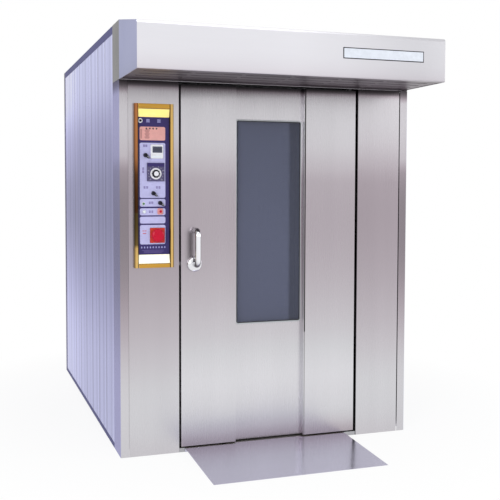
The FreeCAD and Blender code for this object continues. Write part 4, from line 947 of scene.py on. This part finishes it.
def dial_pieces():
    """The thermostat's scale and window, and its dial: a white ring, a fluted grip and a cap."""
    bezel = PANEL_Y - 0.009
    x, z = -0.653, 1.506
    turns = list(enumerate(np.radians(np.linspace(225, -45, 13))))
    for index, turn in turns:
        front_slab("scale_mark_%d" % index,
                   (x + 0.0395 * math.cos(turn), z + 0.0395 * math.sin(turn)), 0.0016, 0.0034,
                   0.0004, 0.0003, "white_plastic", 0.0001, bezel)
    for index, turn in turns[::3]:
        digits("scale_number_%d" % index, str(index * 25),
               (x + 0.04489 * math.cos(turn), bezel - 0.0002, z + 0.04489 * math.sin(turn)),
               0.0052, "white_plastic")
    front_slab("thermostat_window", (x, 1.5525), 0.088, 0.019, 0.002, 0.0004,
               "panel_ground", 0.0001, bezel)
    base = PANEL_Y - 0.0095
    place = (x, base, z)
    ring = turn_piece("dial_ring", [(0, 0), (0.030, 0), (0.030, 0.003), (0.0245, 0.0042),
                                    (0.0240, 0.0036), (0, 0.0036)],
                      place, "dial", "white_plastic", 64)
    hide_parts("temperature_dial")
    turn_piece("dial_body", [(0, 0.003), (0.0215, 0.003), (0.0208, 0.0062), (0.0185, 0.0072),
                             (0.0172, 0.0138), (0, 0.014)],
               place, "dial", "black_plastic", 96, 0.0010, flutes=(10, 0.055))
    turn_piece("dial_cap", [(0, 0.013), (0.0130, 0.013), (0.0126, 0.0158), (0, 0.0165)],
               place, "dial", "white_plastic", 56)
    front_slab("dial_index", (x - 0.014, z + 0.014), 0.0022, 0.0052, 0.0005, 0.0068,
               "white_plastic", 0.0002, base, "dial")


def start_pieces():
    """The start button on its pad, and the pilot lamps with their rims."""
    x, z = -0.628, 1.307
    front_slab("start_button_pad", (x, z), 0.031, 0.033, 0.007, 0.0022,
               "pink_plastic")
    place = (x, PANEL_Y - 0.003, z)
    collar = turn_piece("start_collar", [(0, 0.0045), (0.0125, 0.0045), (0.0125, 0.008),
                                         (0.0112, 0.0098), (0.0078, 0.0098), (0.0076, 0.009),
                                         (0, 0.009)],
                        place, "start", "pink_plastic", 56, 0.0006)
    turn_piece("start_cap", [(0, 0.0085), (0.0072, 0.0085), (0.0070, 0.0105), (0.0048, 0.0120),
                             (0, 0.0124)], place, "start", "red_plastic", 48)
    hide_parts("start_button")
    for name, (x, z), lens, rim in (("lamp_green", (-0.718, 1.348), "green_lens", 0.0098),
                                    ("lamp_white", (-0.714, 1.306), "clear_lens", 0.0098),
                                    ("lamp_head", (-0.734, 1.783), "black_plastic", 0.0128)):
        place = (x, PANEL_Y, z)
        turn_piece(name + "_dome", [(0, 0), (0.0070, 0), (0.0070, 0.0066), (0.0048, 0.0094),
                                    (0, 0.0104)], place, "oven", lens, 32, 0.0012)
        turn_piece(name + "_rim", [(0.0071, 0.0), (rim, 0.0), (rim - 0.0006, 0.0026),
                                   (0.0082, 0.0036), (0.0071, 0.0)],
                   place, "oven", "white_plastic", 40, 0.0003)


def frame_strips():
    """The gold strips that close the panel's frame above and below its glowing end pieces, and
    each end piece's dark edge."""
    low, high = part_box("panel_end_lights")
    centre, width = (low.x + high.x) / 2, high.x - low.x
    for end, z, tall in (("upper", high.z - 0.0125, 0.025), ("lower", low.z + 0.0105, 0.021)):
        front_slab(end + "_frame_strip", (centre, z), width, tall, 0.001, 0.0020,
                   "gold_strip", 0.0009, low.y)
    for end, z in (("upper", high.z - 0.0265), ("lower", low.z + 0.0222)):
        front_slab(end + "_light_edge", (centre, z), width, 0.0024, 0.0005, 0.0012,
                   "heater_sheath", 0.0003, low.y)


def stop_button_pieces():
    """The pad of the stop button, its stem, and its mushroom head."""
    x, z = -0.644, 1.181
    front_slab("stop_pad", (x, z), 0.080, 0.080, 0.005, 0.0048, "orange_plastic",
               0.001)
    head = turn_piece("stop_head", [(0, 0), (0.0325, 0), (0.0352, 0.004), (0.0330, 0.0125),
                                    (0.0238, 0.0170), (0, 0.0177)],
                      (x, PANEL_Y - 0.014, z), "stop", "red_plastic", 72, 0.0028)
    turn_piece("stop_stem", [(0, 0), (0.011, 0), (0.011, 0.0315), (0.017, 0.0342),
                             (0.017, 0.0345), (0, 0.0345)],
               (x, PANEL_Y + 0.020, z), "stop", "orange_plastic", 40, 0.001)
    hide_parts("emergency_stop")


def arm_outline(root, tip, length):
    """Outline of a tapered arm along X: half a circle behind its root, half a circle at its
    tip, and straight flanks between them."""
    front = np.linspace(-math.pi / 2, math.pi / 2, 10)
    back = front + math.pi
    return np.concatenate([
        np.stack([root * np.cos(back), root * np.sin(back)], axis=1),
        np.stack([length - tip + tip * np.cos(front), tip * np.sin(front)], axis=1)])


def selector_pieces():
    """The three selector knobs: a stepped round grip and a pointer arm with a pale line."""
    pointing, line = math.radians(-40), 0.0008
    for node, body, (x, z) in (("steam_selector", "steam_knob", (-0.707, 1.603)),
                               ("fan_selector", "fan_knob", (-0.665, 1.403)),
                               ("lamp_selector", "lamp_knob", (-0.629, 1.352))):
        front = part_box(node)[0].y
        tall = PANEL_Y - front
        knob = turn_piece(node + "_grip", [(0, 0.0006), (0.0112, 0.0006), (0.0112, 0.003),
                                           (0.0100, 0.0042), (0.0092, tall - 0.002),
                                           (0.0078, tall - 0.0004), (0, tall - 0.0002)],
                          (x, PANEL_Y, z), body, "black_plastic", 72, 0.0009,
                          flutes=(12, 0.02))
        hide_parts(node)
        arm = tall - 0.0092
        slab(node + "_arm", arm_outline(0.0066, 0.0046, 0.0240), (x, z), PANEL_Y - 0.0085,
             arm, arm * 0.3, body, "black_plastic", pointing)
        slab(node + "_line", arm_outline(0.0009, 0.0009, 0.0075), (x + 0.0085, z - 0.0071),
             front + line, line, line * 0.3, body, "white_plastic", pointing)


def sheet_screws(trim):
    """Screw heads along the cladding, the rear, the ramp and the door's inside."""
    radius = trim.screw_radius
    left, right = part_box("side_panels")
    low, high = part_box("side_rails")
    for name, x, way in (("left", low.x + 0.0015, -1), ("right", high.x - 0.0015, 1)):
        many_heads(name + "_rail_screws", [(x, y, z) for y in
                                           np.linspace(left.y + 0.06, right.y - 0.06, 18)
                                           for z in (low.z + 0.035, high.z - 0.035)],
                   (way, 0, 0), radius * 0.9)
    low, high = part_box("rear_panels")
    many_heads("rear_screws", [(x, high.y - radius * 0.45, z)
                               for z in np.linspace(low.z + 0.05, high.z - 0.05, 9)
                               for x in (low.x + 0.03, high.x - 0.03)],
               REARWARD, radius)
    low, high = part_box("ramp")
    many_heads("ramp_screws", [((low.x + high.x) / 2 + dx, high.y - 0.022, 0.0242)
                               for dx in np.linspace(-0.40, 0.40, 5)],
               (0, 0, 1), radius * 0.9)
    low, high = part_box("door_inner_skin")
    many_heads("door_inner_screws", [(x, high.y, z) for x in (low.x + 0.018, high.x - 0.018)
                                     for z in np.linspace(low.z + 0.05, high.z - 0.05, 12)],
               REARWARD, radius * 0.8, "door")


def motor_fins():
    """Cooling fins round the fan motor's body: blocks that stand along its radii."""
    low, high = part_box("fan_motor")
    count, half_root, half_tip = 28, 0.0013, 0.00091
    angle = np.linspace(0, 2 * math.pi, count, endpoint=False)
    reach = (high.x - low.x) / 2
    along = np.stack([np.cos(angle), np.sin(angle)], axis=1)
    across = np.stack([-along[:, 1], along[:, 0]], axis=1)
    inner, outer = along * reach * 0.80, along * reach * 0.985
    flat = np.stack([inner - across * half_root, outer - across * half_tip,
                     outer + across * half_tip, inner + across * half_root], axis=1)
    flat = flat + np.array([0.0, (low.y + high.y) / 2])
    corners = [np.concatenate([flat, np.full((count, 4, 1), z)], axis=2)
               for z in (low.z + 0.045, high.z - 0.055)]
    many_boxes("fan_motor_fins", np.concatenate(corners, axis=1), BOX_QUADS[:, ::-1],
               "motor_paint")


# ------------------------------------------------------------------ stage

FLOOR_Z = -0.002


def seen_directly(tree):
    """Return 1 for camera, glossy and transmission rays, and 0 for the rest."""
    path = node(tree, "LightPath").outputs
    rays = math_node(tree, "MAXIMUM", path["Is Camera Ray"], path["Is Glossy Ray"])
    return math_node(tree, "MAXIMUM", rays, path["Is Transmission Ray"])


def mixed_shader(tree, part, first, last, target):
    """Feed a mix of two shaders to an output node's surface."""
    mix = node(tree, "MixShader")
    for socket, value in zip(mix.inputs, (part, first.outputs[0], last.outputs[0])):
        feed(tree, socket, value)
    tree.links.new(mix.outputs[0], target.inputs["Surface"])


def white_world():
    """A pale world for the light, that shows as white to the camera and in what is glossy."""
    world = bpy.data.worlds.new("studio")
    bpy.context.scene.world = world
    world.use_nodes = True
    tree = world.node_tree
    light, white = tree.nodes["Background"], node(tree, "Background")
    feed_all(tree, light, {"Color": (0.93, 0.94, 1.0, 1), "Strength": 0.62})
    feed_all(tree, white, {"Color": (1, 1, 1, 1), "Strength": 1.0})
    mixed_shader(tree, seen_directly(tree), light, white, tree.nodes["World Output"])


def studio_floor():
    """A white floor that keeps the shadow under the oven and fades to the white world."""
    size = 14.0
    mesh = bpy.data.meshes.new("floor")
    mesh.from_pydata([(-size, -size, FLOOR_Z), (size, -size, FLOOR_Z), (size, size, FLOOR_Z),
                      (-size, size, FLOOR_Z)], [], [(0, 1, 2, 3)])
    floor = bpy.data.objects.new("floor", mesh)
    bpy.context.scene.collection.objects.link(floor)
    material, tree, shader = new_material("studio_floor", {
        "Base Color": (0.86, 0.86, 0.87, 1), "Roughness": 0.9, "Specular IOR Level": 0.1})
    glow = node(tree, "Emission")
    feed_all(tree, glow, {"Color": (1, 1, 1, 1), "Strength": 1.0})
    away = node(tree, "VectorMath", operation="DISTANCE")
    feed(tree, away.inputs[0], object_place(tree))
    feed(tree, away.inputs[1], (0.0, 0.3, FLOOR_Z))
    ramp = node(tree, "MapRange")
    feed_all(tree, ramp, {"From Min": 0.7, "From Max": 2.2, "To Min": 0.84,
                          "Value": away.outputs["Value"]})
    shown = times(tree, ramp.outputs[0], seen_directly(tree))
    mixed_shader(tree, shown, shader, glow, tree.nodes["Material Output"])
    mesh.materials.append(material)


def lamp(name, place, target, size, power):
    """Add a square area lamp that looks at a point."""
    data = bpy.data.lights.new(name, "AREA")
    data.shape = "RECTANGLE"
    data.size = data.size_y = size
    data.energy = power
    item = bpy.data.objects.new(name, data)
    bpy.context.scene.collection.objects.link(item)
    item.location = place
    item.rotation_euler = (Vector(target) - Vector(place)).to_track_quat("-Z", "Y").to_euler()


def studio_lamps():
    """A lamp at the left front, one at the right front, and one above."""
    lamp("front_lamp", (-4.8, -5.6, 3.2), (-0.4, -0.7, 1.1), 2.6, 150)
    lamp("right_lamp", (6.0, -4.6, 3.0), (0, -0.2, 1.1), 3.0, 90)
    lamp("top_lamp", (-0.5, -2.4, 6.0), (0, 0, 1.2), 4.0, 70)


CAMERA_PLACE = (-1.66278, -5.26499, 1.44916)
CAMERA_TURN, CAMERA_PITCH, CAMERA_ROLL = 0.3309, -0.0503, 0.0026
LENS_PIXELS, PICTURE_PIXELS, PRINCIPAL_ROW = 863.62, 500, 228.26
SENSOR_WIDTH = 36.0


def photo_camera():
    """The reference view: a camera placed by its turn, pitch and roll, with a small shift."""
    data = bpy.data.cameras.new("camera")
    data.sensor_width = SENSOR_WIDTH
    data.lens = SENSOR_WIDTH * LENS_PIXELS / PICTURE_PIXELS
    data.shift_y = (PRINCIPAL_ROW - PICTURE_PIXELS / 2) / PICTURE_PIXELS
    data.clip_start, data.clip_end = 0.05, 80
    camera = bpy.data.objects.new("camera", data)
    bpy.context.scene.collection.objects.link(camera)
    turn, pitch, roll = CAMERA_TURN, CAMERA_PITCH, CAMERA_ROLL
    ahead = Vector((math.sin(turn) * math.cos(pitch), math.cos(turn) * math.cos(pitch),
                    math.sin(pitch)))
    right = Vector((math.cos(turn), -math.sin(turn), 0))
    up = right.cross(ahead)
    across = right * math.cos(roll) + up * math.sin(roll)
    upright = up * math.cos(roll) - right * math.sin(roll)
    camera.matrix_world = Matrix.Translation(CAMERA_PLACE) @ Matrix(
        (across, upright, -ahead)).transposed().to_4x4()
    bpy.context.scene.camera = camera


# ------------------------------------------------------------------ operators and panel

class OVEN_OT_finishes(bpy.types.Operator):
    """Give every part of the oven its finish."""

    bl_idname = "oven.finishes"
    bl_label = "Finishes"

    def execute(self, context):
        make_materials(context.scene.oven_finishes)
        dress_nodes()
        return {"FINISHED"}


class OVEN_OT_handle(bpy.types.Operator):
    """Make the smooth lever handle of the door."""

    bl_idname = "oven.handle"
    bl_label = "Lever handle"

    def execute(self, context):
        handle_pieces()
        return {"FINISHED"}


class OVEN_OT_window(bpy.types.Operator):
    """Make the beads and seals round the window."""

    bl_idname = "oven.window"
    bl_label = "Window beads"

    def execute(self, context):
        window_pieces()
        return {"FINISHED"}


class OVEN_OT_nameplate(bpy.types.Operator):
    """Make the bare plate on the canopy."""

    bl_idname = "oven.nameplate"
    bl_label = "Bare nameplate"

    def execute(self, context):
        nameplate_pieces(context.scene.oven_trim)
        return {"FINISHED"}


class OVEN_OT_panel_print(bpy.types.Operator):
    """Lay the printed blocks, dots and bars on the control panel."""

    bl_idname = "oven.panel_print"
    bl_label = "Panel print"

    def execute(self, context):
        panel_print(context.scene.oven_trim)
        return {"FINISHED"}


class OVEN_OT_instruments(bpy.types.Operator):
    """Make the timer, the dial, the buttons, the lamps, the knobs and the frame's strips."""

    bl_idname = "oven.instruments"
    bl_label = "Instruments and controls"

    def execute(self, context):
        for make in (timer_pieces, dial_pieces, start_pieces, stop_button_pieces,
                     selector_pieces, frame_strips):
            make()
        return {"FINISHED"}


class OVEN_OT_fasteners(bpy.types.Operator):
    """Set the screw heads of the cladding, ramp and door, and the motor's fins."""

    bl_idname = "oven.fasteners"
    bl_label = "Screws and fins"

    def execute(self, context):
        sheet_screws(context.scene.oven_trim)
        motor_fins()
        return {"FINISHED"}


class OVEN_OT_stage(bpy.types.Operator):
    """Set up the white world, the floor, the lamps and the camera."""

    bl_idname = "oven.stage"
    bl_label = "Stage"

    def execute(self, context):
        white_world()
        studio_floor()
        studio_lamps()
        photo_camera()
        context.scene.view_settings.view_transform = "Standard"
        return {"FINISHED"}


STEPS = (OVEN_OT_finishes, OVEN_OT_handle, OVEN_OT_window, OVEN_OT_nameplate,
         OVEN_OT_panel_print, OVEN_OT_instruments, OVEN_OT_fasteners, OVEN_OT_stage)


class OVEN_PT_panel(bpy.types.Panel):
    """The oven's settings and steps, in the 3D view's sidebar."""

    bl_idname = "OVEN_PT_panel"
    bl_label = "Rotating rack oven"
    bl_space_type = "VIEW_3D"
    bl_region_type = "UI"
    bl_category = "Oven"

    def draw(self, context):
        for settings in (context.scene.oven_finishes, context.scene.oven_trim):
            box = self.layout.box()
            for name in settings.__annotations__:
                box.prop(settings, name)
        for step in STEPS:
            self.layout.operator(step.bl_idname)


CLASSES = (OvenFinishes, OvenTrim) + STEPS + (OVEN_PT_panel,)


def register():
    """Register the classes and hang the settings on the scene."""
    for item in CLASSES:
        bpy.utils.register_class(item)
    bpy.types.Scene.oven_finishes = bpy.props.PointerProperty(type=OvenFinishes)
    bpy.types.Scene.oven_trim = bpy.props.PointerProperty(type=OvenTrim)


def unregister():
    """Take the settings and the classes away again."""
    del bpy.types.Scene.oven_trim
    del bpy.types.Scene.oven_finishes
    for item in reversed(CLASSES):
        bpy.utils.unregister_class(item)


def main():
    """Register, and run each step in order."""
    register()
    for step in (bpy.ops.oven.finishes, bpy.ops.oven.handle, bpy.ops.oven.window,
                 bpy.ops.oven.nameplate, bpy.ops.oven.panel_print, bpy.ops.oven.instruments,
                 bpy.ops.oven.fasteners, bpy.ops.oven.stage):
        step()


if __name__ == "__main__":
    main()
